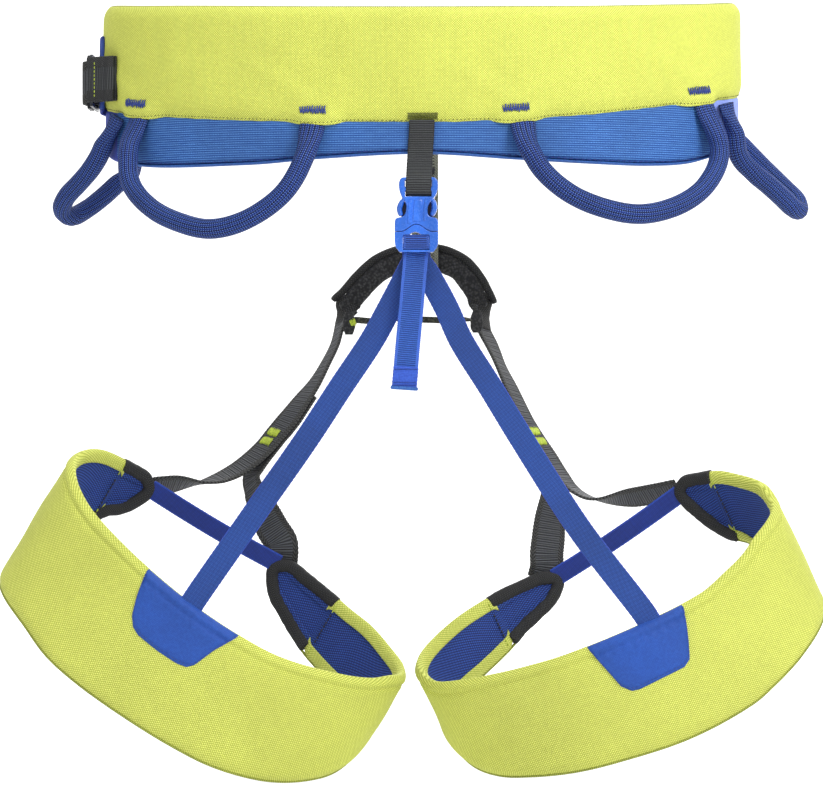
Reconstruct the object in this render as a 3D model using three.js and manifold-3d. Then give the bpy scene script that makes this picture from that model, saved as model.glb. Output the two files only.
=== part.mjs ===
import * as THREE from "three";
import Module from "manifold-3d";

const wasm = await Module();
wasm.setup();

// Driving sizes in millimetres, angles in degrees. X is right seen from the rear, Y is forward, Z is up.
// The origin is the middle of the waist ring, level with the middle of the rear pad.
const seatGap = 0.3;
const waistHalfWidth = 176;
const waistHalfDepth = 80;
const beltHeight = 85;
const beltLiningThick = 4.5;
const beltShellThick = 4.5;
const beltEdgeThick = 3;
const beltBandThick = 3.2;
const padEdgeRun = 12;
const padStations = 48;
const legStations = 60;
const padRows = 6;
const fullTurn = 360;
const half = 0.5;

// Rows of the belt's edges: angle round the ring, then top, seam and bottom as shares of the belt height.
const beltEdgeShares = [
  [-208, 0.45, 0.02, -0.16],
  [-193, 0.59, -0.04, -0.3],
  [-180, 0.612, -0.087, -0.395],
  [-150, 0.56, -0.176, -0.513],
  [-123, 0.521, -0.238, -0.522],
  [-108, 0.506, -0.253, -0.488],
  [-90, 0.5, -0.261, -0.461],
  [-73, 0.507, -0.238, -0.494],
  [-58, 0.521, -0.194, -0.515],
  [-44, 0.545, -0.139, -0.518],
  [-31, 0.57, -0.088, -0.482],
  [0, 0.632, 0, -0.27],
  [14, 0.6, 0.03, -0.2],
  [28, 0.48, 0.05, -0.14],
];
const beltStartAngle = -206;
const beltEndAngle = 26;
const shellStartAngle = -204.5;
const shellEndAngle = 20;
const bandStartAngle = -163;
const bandEndAngle = -25;

const webbingThick = 1.8;
const waistWebbingWidth = 25;
const waistWebbingRise = 8;
const frontWebbingWidth = 44;
const frontWebbingRise = 12;

const gearTubeRadius = 5.6;
const gearTubeFlat = 2.2;
const gearTubeSpread = 7;
const gearTubeSides = 10;
const gearTubeStations = 30;
const gearDroop = 65;
const gearEndRun = 0.12;

const strapWidth = 13.6;
const rearStrapWidth = 14;
const rearStrapX = -0.4;
const buckleX = -3.5;
const buckleWidth = 24;
const buckleTop = -53;
const buckleBottom = -94.4;
const buckleThick = 7;
const buckleY = -95.4;

const legHalfLength = 112;
const legHalfDepth = 62;
const legPadHeight = 73;
const legShellThick = 3.6;
const legEdgeThick = 1.6;
const legLiningThick = 2.6;
const bindingRadius = 3.4;
const bindingDepth = 3.9;
const patchThick = 1.2;
const legElasticWidth = 11;
const legElasticThick = 1.4;

const frontY = 84;
const archWidth = 16;
const archThick = 7;
const riserWidth = 20;
const riserThick = 1.7;
const belayWidth = 16;
const belayThick = 4;
const belayX = 2;

// Each leg loop: centre, roll of its long axis, and rows of angle, top and bottom as shares of the pad height.
const loopBack = -25;
const leftLoopX = -125.2;
const leftLoopZ = -305.4;
const rightLoopX = 111.6;
const rightLoopZ = -308.3;
const leftLoop = {
  side: -1,
  centre: [leftLoopX, loopBack, leftLoopZ],
  roll: 30.5,
  edgeShares: [
    [58, 0.72, 0.56],
    [52, 0.74, 0.535],
    [46, 0.771, 0.374],
    [40, 0.775, 0.286],
    [25, 0.764, -0.11],
    [10, 0.7, -0.384],
    [0, 0.63, -0.507],
    [-16, 0.538, -0.555],
    [-38, 0.384, -0.644],
    [-54, 0.3, -0.753],
    [-67, 0.238, -0.801],
    [-83, 0.177, -0.829],
    [-100, 0.147, -0.84],
    [-114, 0.155, -0.822],
    [-132, 0.24, -0.726],
    [-150, 0.34, -0.562],
    [-162, 0.425, -0.432],
    [-180, 0.473, -0.178],
    [-190, 0.511, -0.068],
    [-206, 0.559, 0.014],
    [-222, 0.626, 0.055],
    [-232, 0.647, 0.099],
    [-241, 0.678, 0.166],
    [-252, 0.712, 0.308],
    [-259, 0.729, 0.425],
    [-266, 0.72, 0.56],
  ],
};
const rightLoop = {
  side: 1,
  centre: [rightLoopX, loopBack, rightLoopZ],
  roll: 25.3,
  edgeShares: [
    [58, 0.8, 0.66],
    [52, 0.816, 0.616],
    [46, 0.823, 0.384],
    [41, 0.801, 0.236],
    [33, 0.764, 0.121],
    [23, 0.674, -0.11],
    [7, 0.547, -0.411],
    [0, 0.44, -0.507],
    [-10, 0.36, -0.555],
    [-23, 0.3, -0.63],
    [-35, 0.24, -0.705],
    [-43, 0.171, -0.76],
    [-53, 0.11, -0.822],
    [-64, 0.05, -0.882],
    [-85, 0.045, -0.901],
    [-107, 0.073, -0.833],
    [-120, 0.114, -0.774],
    [-135, 0.171, -0.678],
    [-148, 0.219, -0.589],
    [-162, 0.271, -0.452],
    [-180, 0.4, -0.205],
    [-190, 0.452, -0.11],
    [-209, 0.529, 0.02],
    [-225, 0.589, 0.084],
    [-237, 0.614, 0.159],
    [-244, 0.621, 0.227],
    [-255, 0.61, 0.314],
    [-261, 0.59, 0.388],
    [-268, 0.57, 0.44],
  ],
};
const padTipAngle = 44;
const padTailAngle = -252;
const bindingTipAngle = 51.5;
const bindingTailAngle = -261;

const group = new THREE.Group();
const rad = THREE.MathUtils.degToRad;
const forward = new THREE.Vector3(0, 1, 0);
const up = new THREE.Vector3(0, 0, 1);
const right = new THREE.Vector3(1, 0, 0);

function vec(list) {
  return new THREE.Vector3(...list);
}

function material(color, roughness) {
  return new THREE.MeshStandardMaterial({ color, roughness });
}

const yellow = 0xcfdf45;
const blue = 0x2b63c8;
const deepBlue = 0x23399e;
const black = 0x242426;
const grey = 0x45474b;
const periwinkle = 0x7a7fe8;
const buckleBlue = 0x3d72f0;
const metal = 0x8a8d90;

function add(name, geometry, color, roughness = 0.8) {
  geometry.computeVertexNormals();
  const mesh = new THREE.Mesh(geometry, material(color, roughness));
  mesh.name = name;
  group.add(mesh);
  return mesh;
}

// Smooth rows of numbers, read at any value of their first column.
function reader(rows) {
  const sorted = [...rows].sort((a, b) => a[0] - b[0]);
  return (at) => {
    let k = 0;
    while (k < sorted.length - 2 && sorted[k + 1][0] < at) k += 1;
    const before = sorted[Math.max(k - 1, 0)];
    const low = sorted[k];
    const high = sorted[k + 1];
    const after = sorted[Math.min(k + 2, sorted.length - 1)];
    const span = high[0] - low[0];
    const t = Math.min(Math.max((at - low[0]) / span, 0), 1);
    return low.slice(1).map((value, i) => {
      const slopeLow = ((high[i + 1] - before[i + 1]) / (high[0] - before[0])) * span;
      const slopeHigh = ((after[i + 1] - value) / (after[0] - low[0])) * span;
      const t2 = t * t;
      const t3 = t2 * t;
      return (
        (2 * t3 - 3 * t2 + 1) * value +
        (t3 - 2 * t2 + t) * slopeLow +
        (3 * t2 - 2 * t3) * high[i + 1] +
        (t3 - t2) * slopeHigh
      );
    });
  };
}

// A closed body through rings of equal count. Open runs get a fan on each end.
function loft(rings, closed = false) {
  const count = rings[0].length;
  const points = rings.flat();
  const index = [];
  const last = closed ? rings.length : rings.length - 1;
  for (let i = 0; i < last; i += 1) {
    const here = i * count;
    const next = ((i + 1) % rings.length) * count;
    for (let j = 0; j < count; j += 1) {
      const k = (j + 1) % count;
      index.push(here + j, here + k, next + k, here + j, next + k, next + j);
    }
  }
  if (!closed) {
    for (const [ring, turn] of [[0, true], [rings.length - 1, false]]) {
      const middle = rings[ring].reduce((sum, p) => sum.add(p), new THREE.Vector3());
      points.push(middle.divideScalar(count));
      for (let j = 0; j < count; j += 1) {
        const a = ring * count + j;
        const b = ring * count + ((j + 1) % count);
        index.push(points.length - 1, ...(turn ? [b, a] : [a, b]));
      }
    }
  }
  const geometry = new THREE.BufferGeometry().setFromPoints(points);
  geometry.setIndex(index);
  return facingOut(geometry);
}

function facingOut(geometry) {
  const p = geometry.getAttribute("position");
  const index = geometry.index.array;
  const [a, b, c] = [new THREE.Vector3(), new THREE.Vector3(), new THREE.Vector3()];
  let volume = 0;
  for (let i = 0; i < index.length; i += 3) {
    a.fromBufferAttribute(p, index[i]);
    b.fromBufferAttribute(p, index[i + 1]);
    c.fromBufferAttribute(p, index[i + 2]);
    volume += a.dot(b.cross(c));
  }
  if (volume < 0) {
    for (let i = 0; i < index.length; i += 3) {
      [index[i + 1], index[i + 2]] = [index[i + 2], index[i + 1]];
    }
  }
  return geometry;
}

const tapeShape = [
  [1, -0.4], [1, 0.4], [0.96, 1], [-0.96, 1], [-1, 0.4], [-1, -0.4], [-0.96, -1], [0.96, -1],
];

function roundShape(sides) {
  return Array.from({ length: sides }, (_, i) => {
    const turn = rad((fullTurn * i) / sides);
    return [Math.cos(turn), Math.sin(turn)];
  });
}

// One ring of a swept body: shape points scaled to two half sizes on two directions.
function ringAt(place, across, out, halfAcross, halfOut, shape) {
  return shape.map(([a, b]) =>
    place.clone().addScaledVector(across, a * halfAcross).addScaledVector(out, b * halfOut));
}

// A route read smoothly: rows of x, y, z and a turn about the route, in degrees.
function readRoute(rows, count, closed = false) {
  const curve = new THREE.CatmullRomCurve3(rows.map((row) => vec(row)), closed, "centripetal");
  const turns = reader(rows.map((row, i) => [i, row[3] ?? 0]));
  const steps = closed ? rows.length : rows.length - 1;
  const total = closed ? count : count - 1;
  return Array.from({ length: count }, (_, i) => {
    const u = i / total;
    return {
      place: curve.getPoint(u),
      along: curve.getTangent(u),
      turn: closed ? 0 : turns(u * steps)[0],
    };
  });
}

// A tape's frame: across its width and out of its face, turned from facing the rear.
function tapeFrame({ along, turn }) {
  const flat = along.clone().cross(forward).normalize();
  const deep = flat.clone().cross(along).normalize();
  const across = flat.clone().multiplyScalar(Math.cos(rad(turn)));
  across.addScaledVector(deep, Math.sin(rad(turn)));
  const out = across.clone().cross(along).normalize();
  return { across, out };
}

function tape(rows, count, width, thick) {
  const rings = readRoute(rows, count).map((step) => {
    const { across, out } = tapeFrame(step);
    return ringAt(step.place, across, out, width * half, thick * half, tapeShape);
  });
  return loft(rings);
}

// The waist ring: a point at an angle, a distance out of the lining's inner face and a height.
function beltOut(angle) {
  const t = rad(angle);
  return new THREE.Vector3(Math.cos(t) / waistHalfWidth, Math.sin(t) / waistHalfDepth, 0).normalize();
}

function beltPoint(angle, out, height) {
  const t = rad(angle);
  const place = new THREE.Vector3(waistHalfWidth * Math.cos(t), waistHalfDepth * Math.sin(t), height);
  return place.addScaledVector(beltOut(angle), out);
}

const beltEdge = reader(beltEdgeShares);

function beltHeights(angle) {
  const [top, seam, bottom] = beltEdge(angle);
  return { top: top * beltHeight, seam: seam * beltHeight, bottom: bottom * beltHeight };
}

// How far a pad's face stands out at a distance from its nearest edge.
function crown(distance, edge, full) {
  const share = Math.min(Math.max(distance / padEdgeRun, 0), 1);
  return edge + (full - edge) * (1 - (1 - share) ** 2);
}

// A pad's closed section between two heights, as pairs of height and distance out.
function padSection(low, high, inner, edge, full) {
  const pairs = [];
  for (let i = 0; i <= padRows; i += 1) {
    const share = half - half * Math.cos((Math.PI * i) / padRows);
    const height = low + (high - low) * share;
    pairs.push([height, inner + crown(Math.min(height - low, high - height), edge, full)]);
  }
  pairs.push([high, inner], [(low + high) * half, inner], [low, inner]);
  return pairs;
}

function beltPad(start, end, heights, inner, edge, full, stations = padStations) {
  const rings = Array.from({ length: stations + 1 }, (_, i) => {
    const angle = start + ((end - start) * i) / stations;
    const { low, high } = heights(angle);
    return padSection(low, high, inner, edge, full).map(([z, out]) => beltPoint(angle, out, z));
  });
  return loft(rings);
}

const shellInner = beltLiningThick + seatGap;
const liningInset = 1.5;
const bandOut = shellInner + beltBandThick;

add("belt_lining", beltPad(beltStartAngle, beltEndAngle, (angle) => {
  const { top, bottom } = beltHeights(angle);
  return { low: bottom + liningInset, high: top - liningInset };
}, 0, beltEdgeThick, beltLiningThick), blue);
add("belt_shell", beltPad(shellStartAngle, shellEndAngle, (angle) => {
  const { top, seam } = beltHeights(angle);
  return { low: seam + seatGap * half, high: top };
}, shellInner, beltEdgeThick, beltShellThick), yellow);

function underSeam(angle) {
  const { seam, bottom } = beltHeights(angle);
  return { low: bottom, high: seam - seatGap * half };
}

function lowerPad(start, end, stations) {
  return beltPad(start, end, underSeam, shellInner, beltBandThick * half, beltBandThick, stations);
}

const panelGapAngle = 0.25;
const panelStations = 14;
add("belt_lower_band",
  lowerPad(bandStartAngle, bandEndAngle, padStations * half), blue);
add("belt_panel_left",
  lowerPad(shellStartAngle, bandStartAngle - panelGapAngle, panelStations), deepBlue);
add("belt_panel_right",
  lowerPad(bandEndAngle + panelGapAngle, shellEndAngle, panelStations), periwinkle);

// Webbing round the ring at given angles and distances out.
function beltTape(rows, count, width, rise) {
  const read = reader(rows.map((row, i) => [i, ...row]));
  const rings = Array.from({ length: count }, (_, i) => {
    const [angle, out, lift] = read(((rows.length - 1) * i) / (count - 1));
    const place = beltPoint(angle, out, rise + lift);
    return ringAt(place, up, beltOut(angle), width * half, webbingThick * half, tapeShape);
  });
  return loft(rings);
}

const stackOut = shellInner + beltShellThick + seatGap + webbingThick * half;
const frontTapeEndAngle = 146;
const frontTapeStartAngle = 188;
const frontTapeStations = 16;
const frontTapeDip = -2;
add("front_webbing_left", beltTape([
  [frontTapeStartAngle, stackOut, 0],
  [170, stackOut, 0],
  [158, stackOut, 0],
  [frontTapeEndAngle, stackOut, frontTapeDip],
], frontTapeStations, frontWebbingWidth, frontWebbingRise), blue);

// The waist buckle at the left flank: a base plate, a slider with the bar, and webbing turned round the bar.
const layer = webbingThick + seatGap;
const runOut = stackOut + layer;
const basePlateThick = 1.5;
const sliderThick = 2.2;
const buckleBaseLength = 44;
const buckleBaseHeight = 30;
const sliderLength = 21;
const sliderHeight = 31;
const barBack = -1.6;
const windowBack = -8.4;
const baseWindowBack = -9.4;
const baseWindowFront = 13;
const windowPlay = 1.6;
const windowHeight = waistWebbingWidth + windowPlay;
const plateCorner = 3;
const baseOut = runOut + webbingThick * half + seatGap;
const sliderOut = baseOut + basePlateThick + seatGap;
const barOut = sliderOut + sliderThick * half;
const turnRadius = barOut - runOut;
const flankX = -waistHalfWidth;

function roundedOutline(length, height, corner, target) {
  const a = length * half;
  const b = height * half;
  target.moveTo(-a + corner, -b);
  target.lineTo(a - corner, -b);
  target.absarc(a - corner, -b + corner, corner, rad(-90), 0);
  target.lineTo(a, b - corner);
  target.absarc(a - corner, b - corner, corner, 0, rad(90));
  target.lineTo(-a + corner, b);
  target.absarc(-a + corner, b - corner, corner, rad(90), rad(180));
  target.lineTo(-a, -b + corner);
  target.absarc(-a + corner, -b + corner, corner, rad(180), rad(270));
  return target;
}

// A flat plate on the flank: its length lies along Y, its height along Z and its thickness along -X.
function flankPlate(shape, out, thick, middleY) {
  const geometry = new THREE.ExtrudeGeometry(shape, { depth: thick, bevelEnabled: false, curveSegments: 5 });
  const turn = new THREE.Matrix4().makeBasis(forward, up, right);
  geometry.applyMatrix4(turn);
  geometry.translate(flankX - out - thick, middleY, waistWebbingRise);
  return geometry;
}

function windowPath(back, front, height, middle) {
  const path = new THREE.Path();
  const b = height * half;
  path.moveTo(back - middle, -b);
  path.lineTo(back - middle, b);
  path.lineTo(front - middle, b);
  path.lineTo(front - middle, -b);
  path.lineTo(back - middle, -b);
  return path;
}

const baseMiddle = 0;
const sliderMiddle = -1.4;
const slotBack = -19.5;
const slotFront = -16;
const slotHeight = 26.2;
const basePlate = roundedOutline(buckleBaseLength, buckleBaseHeight, plateCorner, new THREE.Shape());
basePlate.holes.push(windowPath(baseWindowBack, baseWindowFront, windowHeight, baseMiddle));
basePlate.holes.push(windowPath(slotBack, slotFront, slotHeight, baseMiddle));
add("waist_buckle_base", flankPlate(basePlate, baseOut, basePlateThick, baseMiddle), metal, 0.35);
const sliderPlate = roundedOutline(sliderLength, sliderHeight, plateCorner, new THREE.Shape());
sliderPlate.holes.push(windowPath(windowBack, barBack, windowHeight, sliderMiddle));
add("waist_buckle_slider", flankPlate(sliderPlate, sliderOut, sliderThick, sliderMiddle), black, 0.4);

// The keeper: webbing through the base plate's rear slot, its two ends sewn to the belt behind it.
const keeperWidth = 25;
const keeperThick = 1.4;
const keeperEndAngle = 198.5;
const keeperPast = 1.5;
const keeperRunSteps = 8;
const keeperTurnSteps = 8;
function keeperRings() {
  const barX = flankX - baseOut - basePlateThick * half;
  const barTurn = basePlateThick * half + seatGap + keeperThick * half;
  const barEnd = -buckleBaseLength * half - keeperPast;
  const endOut = stackOut + (keeperThick - webbingThick) * half;
  const rings = [];
  const place = (at, out) => rings.push(ringAt(at, up, out, keeperWidth * half, keeperThick * half, tapeShape));
  const run = (from, to, first, last) => {
    const out = to.clone().sub(from).cross(up).normalize();
    for (let i = first; i <= last; i += 1) place(from.clone().lerp(to, i / keeperRunSteps), out);
  };
  const at = (x, y) => vec([x, y, waistWebbingRise]);
  run(beltPoint(keeperEndAngle, endOut, waistWebbingRise), at(barX + barTurn, slotBack), 0, keeperRunSteps - 1);
  for (let i = 0; i <= keeperTurnSteps; i += 1) {
    const turn = (Math.PI * i) / keeperTurnSteps;
    const out = vec([Math.cos(turn), Math.sin(turn), 0]);
    place(at(barX, slotBack).addScaledVector(out, barTurn), out);
  }
  const upper = beltPoint(keeperEndAngle, endOut + keeperThick + seatGap, waistWebbingRise);
  run(at(barX - barTurn, barEnd), upper, 0, keeperRunSteps);
  return rings;
}
add("buckle_keeper", loft(keeperRings()), black);

// The waist webbing starts on the right pad end, crosses the front, turns round the bar and doubles back.
const webbingTurnSteps = 9;
const webbingStations = 40;
const backStations = 16;
const frontRunAngles = [23, 45, 75, 105, 130, 142, 172];
const backRunAngles = [172, 162, 152, 146, 124];
const backSpreadShare = 1.6;
const backSag = 2;
function waistWebbingRings() {
  const rings = [];
  const endOut = shellInner + webbingThick * half;
  const nearOut = endOut - beltLiningThick * half;
  const frontOuts = [endOut, endOut, nearOut, nearOut, endOut, runOut, runOut];
  const first = reader(frontRunAngles.map((angle, i) => [i, angle, frontOuts[i]]));
  const place = (at, out) => ringAt(at, up, out, waistWebbingWidth * half, webbingThick * half, tapeShape);
  for (let i = 0; i <= webbingStations; i += 1) {
    const [angle, out] = first(((frontRunAngles.length - 1) * i) / webbingStations);
    rings.push(place(beltPoint(angle, out, waistWebbingRise), beltOut(angle)));
  }
  for (let i = 0; i < webbingTurnSteps; i += 1) {
    const turn = rad(-90 + (180 * i) / (webbingTurnSteps - 1));
    const out = vec([-Math.sin(turn), -Math.cos(turn), 0]);
    const at = vec([flankX - barOut, barBack, waistWebbingRise]).addScaledVector(out, turnRadius);
    rings.push(place(at, out));
  }
  const backOut = runOut + layer;
  const backOuts = [runOut + turnRadius * 2, runOut + turnRadius * backSpreadShare, backOut, backOut,
    endOut + layer + backSag];
  const back = reader(backRunAngles.map((angle, i) => [i, angle, backOuts[i]]));
  for (let i = 0; i <= backStations; i += 1) {
    const [angle, out] = back(((backRunAngles.length - 1) * i) / backStations);
    rings.push(place(beltPoint(angle, out, waistWebbingRise), beltOut(angle)));
  }
  return rings;
}
add("waist_webbing", loft(waistWebbingRings()), grey);

// Gear loops: the two sewn ends by angle, then rows of share along, share of the droop and share of the lean.
const gearLoops = [
  {
    name: "gear_loop_rear_left",
    endAngles: [-149.5, -109.3],
    lean: 14,
    snug: 1.1,
    shares: [[-0.06, 0, 0], [-0.085, 0.233, 0.4], [-0.033, 0.558, 0.8], [0.155, 0.776, 1], [0.358, 0.893, 1],
      [0.534, 0.932, 1], [0.72, 0.842, 1], [0.897, 0.607, 0.9], [0.975, 0.308, 0.5], [0.985, 0, 0]],
  },
  {
    name: "gear_loop_rear_right",
    endAngles: [-72.9, -30.5],
    lean: 14,
    snug: 1.1,
    shares: [[0.02, 0, 0], [0.024, 0.218, 0.4], [0.069, 0.426, 0.7], [0.177, 0.644, 1], [0.341, 0.8, 1],
      [0.536, 0.883, 1], [0.766, 0.834, 1], [0.959, 0.689, 0.9], [1.11, 0.42, 0.5], [1.04, 0, 0]],
  },
  {
    name: "gear_loop_side_left",
    endAngles: [-161, -203],
    lean: 26,
    snug: 0,
    shares: [[0, 0, 0], [0.05, 0.16, 0.02], [0.1, 0.321, 0.1], [0.16, 0.454, 0.24], [0.24, 0.57, 0.431],
      [0.34, 0.691, 0.674], [0.46, 0.795, 0.76], [0.56, 0.851, 0.625], [0.68, 0.785, 0.412],
      [0.8, 0.661, 0.202], [0.88, 0.541, 0.027], [0.94, 0.456, -0.124], [0.99, 0.12, -0.1], [1, 0, 0]],
  },
  {
    name: "gear_loop_side_right",
    endAngles: [-20, 17],
    lean: 26,
    snug: 0,
    shares: [[0, 0, 0], [0.04, 0.2, 0], [0.1, 0.45, 0.02], [0.16, 0.59, 0.263], [0.24, 0.686, 0.505],
      [0.34, 0.789, 0.758], [0.44, 0.873, 0.981], [0.54, 0.88, 1.115], [0.62, 0.796, 1.117],
      [0.72, 0.672, 0.925], [0.84, 0.481, 0.609], [0.92, 0.341, 0.406], [0.97, 0.2, 0.2], [1, 0, 0]],
  },
];
const gearFootDrop = 2;
const gearFrontDrop = 13;

function gearLoop({ name, endAngles, lean, snug, shares }) {
  const footHeight = (angle) => {
    const past = angle < -180 || angle > 0;
    return beltHeights(angle).seam - (past ? gearFrontDrop : gearFootDrop);
  };
  const [from, to] = endAngles.map(footHeight);
  const angleAt = (along) => endAngles[0] + (endAngles[1] - endAngles[0]) * along;
  const leanOut = beltOut(angleAt(half));
  const footOutward = bandOut - snug + seatGap + gearTubeFlat;
  const points = shares.map(([along, down, away]) =>
    beltPoint(angleAt(along), footOutward, from + (to - from) * along - down * gearDroop)
      .addScaledVector(leanOut, away * lean));
  const curve = new THREE.CatmullRomCurve3(points, false, "centripetal");
  const rings = Array.from({ length: gearTubeStations }, (_, i) => {
    const u = i / (gearTubeStations - 1);
    const share = Math.min(Math.min(u, 1 - u) / gearEndRun, 1);
    const halfOut = gearTubeFlat + (gearTubeRadius - gearTubeFlat) * share;
    const halfAcross = gearTubeSpread + (gearTubeRadius - gearTubeSpread) * share;
    const footOut = beltOut(u < half ? endAngles[0] : endAngles[1]);
    const out = footOut.multiplyScalar(1 - share).addScaledVector(leanOut, share).normalize();
    const place = curve.getPointAt(u).addScaledVector(out, halfOut - gearTubeFlat);
    const along = curve.getTangentAt(u);
    const across = along.clone().cross(out).normalize();
    const normal = across.clone().cross(along).normalize();
    return ringAt(place, across, normal, halfAcross, halfOut, roundShape(gearTubeSides));
  });
  add(name, loft(rings), deepBlue);
}
gearLoops.forEach(gearLoop);

// The rear strap from the seam down to the buckle's bar, turned round it.
const strapSeamDrop = 1;
const strapAside = 2;
const strapTailStep = 2;
const strapStart = beltHeights(-90).seam - strapSeamDrop;
const strapBack = -(waistHalfDepth + bandOut + seatGap + webbingThick * half);
const barDrop = 6.5;
const barZ = buckleTop - barDrop;
const barHalf = 1.3;
const strapTurn = Math.hypot(barHalf, barHalf) + seatGap + webbingThick * half;
const strapX = rearStrapX - strapAside;
const strapShares = [[0, 0, 0], [0.4, 0, 0.386], [0.7, 0.238, 0.633], [0.9, 1.022, 0.862], [1, 1, 1]];
function rearStrapRings() {
  const rows = strapShares.map(([aside, deep, down]) => [
    rearStrapX + (strapX - rearStrapX) * aside,
    strapBack + (buckleY - strapTurn - strapBack) * deep,
    strapStart + (barZ - strapStart) * down,
  ]);
  const rings = readRoute(rows, 14).map((step) => {
    const out = right.clone().cross(step.along).normalize();
    return ringAt(step.place, right, out, rearStrapWidth * half, webbingThick * half, tapeShape);
  });
  for (let i = 1; i <= 8; i += 1) {
    const turn = rad((180 * i) / 8);
    const out = vec([0, -Math.cos(turn), -Math.sin(turn)]);
    const at = vec([strapX, buckleY, barZ]).addScaledVector(out, strapTurn);
    rings.push(ringAt(at, right, out, rearStrapWidth * half, webbingThick * half, tapeShape));
  }
  for (let i = 1; i <= 3; i += 1) {
    const at = vec([strapX, buckleY + strapTurn, barZ + i * strapTailStep]);
    rings.push(ringAt(at, right, forward, rearStrapWidth * half, webbingThick * half, tapeShape));
  }
  return rings;
}
add("rear_strap", loft(rearStrapRings()), black);

// The drop-seat buckle. Its outlines are drawn in X and Z and given thickness along Y.
function buckleGeometry(shape, thick, middleY = buckleY) {
  const geometry = new THREE.ExtrudeGeometry(shape, {
    depth: thick,
    bevelEnabled: false,
    curveSegments: 6,
  });
  const turn = new THREE.Matrix4().makeBasis(right, up, forward.clone().negate());
  geometry.applyMatrix4(turn);
  geometry.translate(buckleX, middleY + thick * half, 0);
  return geometry;
}

function solidFrom(geometry) {
  const p = geometry.getAttribute("position");
  const index = geometry.index ? geometry.index.array : [...Array(p.count).keys()];
  const keys = new Map();
  const verts = [];
  const tris = [];
  for (const i of index) {
    const at = [p.getX(i), p.getY(i), p.getZ(i)];
    const key = at.map((value) => value.toFixed(4)).join();
    if (!keys.has(key)) {
      keys.set(key, verts.length / 3);
      verts.push(...at);
    }
    tris.push(keys.get(key));
  }
  return new wasm.Manifold(new wasm.Mesh({
    numProp: 3,
    vertProperties: new Float32Array(verts),
    triVerts: new Uint32Array(tris),
  }));
}

function geometryFrom(solid) {
  const { vertProperties, triVerts, numProp } = solid.getMesh();
  const geometry = new THREE.BufferGeometry();
  const kept = [];
  for (let i = 0; i < vertProperties.length; i += numProp) kept.push(...vertProperties.slice(i, i + 3));
  geometry.setAttribute("position", new THREE.Float32BufferAttribute(kept, 3));
  geometry.setIndex([...triVerts]);
  return geometry.toNonIndexed();
}

function block(low, high) {
  const size = high.map((value, i) => value - low[i]);
  const geometry = new THREE.BoxGeometry(...size);
  geometry.translate(...low.map((value, i) => value + size[i] * half));
  return solidFrom(geometry);
}

const buckleHalf = buckleWidth * half;
const stemHalf = 6.6;
const lugHalf = 9.6;
const shoulderZ = -74.8;
const partSideZ = -83;
const partMiddleZ = -79;
const lugTopZ = buckleTop;
const barWindowHalf = 7.5;
const prongHalf = 1.1;
const prongLength = 7;
const prongInset = 2.4;
const prongRoot = 2;
const prongX = buckleHalf - prongInset;
const prongThick = 3;
const cutOver = 1;
const barFacing = 1;
const lugCorner = 2;
const lugSide = 3;
const lugTaper = 6.5;
const stemTop = 11;
const stemFlare = 0.6;
const stemFoot = 3.4;
const stemSpread = 2.4;
const shoulderCorner = 1.4;
const shoulderDrop = 2;
const partSteps = 10;
const partShare = 0.62;

function partingCurve(target, lift) {
  for (let i = 0; i <= partSteps; i += 1) {
    const x = ((2 * i) / partSteps - 1) * buckleHalf;
    const aside = Math.min(Math.abs(x) / (buckleHalf * partShare), 1);
    const rise = (partMiddleZ - partSideZ) * (half + half * Math.cos(aside * Math.PI));
    target.lineTo(x, partSideZ + rise + lift);
  }
}

const maleShape = new THREE.Shape();
maleShape.moveTo(-lugHalf + lugCorner, lugTopZ);
maleShape.quadraticCurveTo(-lugHalf, lugTopZ, -lugHalf, lugTopZ - lugSide);
maleShape.quadraticCurveTo(-lugHalf, lugTopZ - lugTaper, -stemHalf - stemFlare, lugTopZ - stemTop);
maleShape.lineTo(-stemHalf, shoulderZ + stemFoot);
maleShape.quadraticCurveTo(-stemHalf - stemFlare, shoulderZ + stemFlare, -stemHalf - stemSpread, shoulderZ);
maleShape.lineTo(-buckleHalf + shoulderCorner, shoulderZ);
maleShape.quadraticCurveTo(-buckleHalf, shoulderZ, -buckleHalf, shoulderZ - shoulderDrop);
partingCurve(maleShape, seatGap * half);
maleShape.lineTo(buckleHalf, shoulderZ - shoulderDrop);
maleShape.quadraticCurveTo(buckleHalf, shoulderZ, buckleHalf - shoulderCorner, shoulderZ);
maleShape.lineTo(stemHalf + stemSpread, shoulderZ);
maleShape.quadraticCurveTo(stemHalf + stemFlare, shoulderZ + stemFlare, stemHalf, shoulderZ + stemFoot);
maleShape.lineTo(stemHalf + stemFlare, lugTopZ - stemTop);
maleShape.quadraticCurveTo(lugHalf, lugTopZ - lugTaper, lugHalf, lugTopZ - lugSide);
maleShape.quadraticCurveTo(lugHalf, lugTopZ, lugHalf - lugCorner, lugTopZ);
maleShape.lineTo(-lugHalf + lugCorner, lugTopZ);

const halfThick = buckleThick * half;
let male = solidFrom(buckleGeometry(maleShape, buckleThick));
male = male.subtract(block(
  [strapX - barWindowHalf, buckleY - halfThick - cutOver, barZ + barHalf],
  [strapX + barWindowHalf, buckleY + halfThick + cutOver, lugTopZ + cutOver],
));
male = male.subtract(block(
  [strapX - barWindowHalf, buckleY - halfThick - cutOver, barZ - strapTurn - seatGap - webbingThick * half],
  [strapX + barWindowHalf, buckleY + halfThick + cutOver, barZ - barHalf],
));
const barFace = halfThick - barFacing;
for (const sign of [-1, 1]) {
  const faceY = buckleY + sign * (barFace + barHalf);
  male = male.subtract(block(
    [strapX - barWindowHalf, faceY - barFace, barZ - barHalf - cutOver],
    [strapX + barWindowHalf, faceY + barFace, barZ + barHalf + cutOver],
  ));
  male = male.add(block(
    [buckleX + sign * prongX - prongHalf, buckleY - prongThick * half, partSideZ - prongLength],
    [buckleX + sign * prongX + prongHalf, buckleY + prongThick * half, partSideZ + prongRoot],
  ));
}
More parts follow.
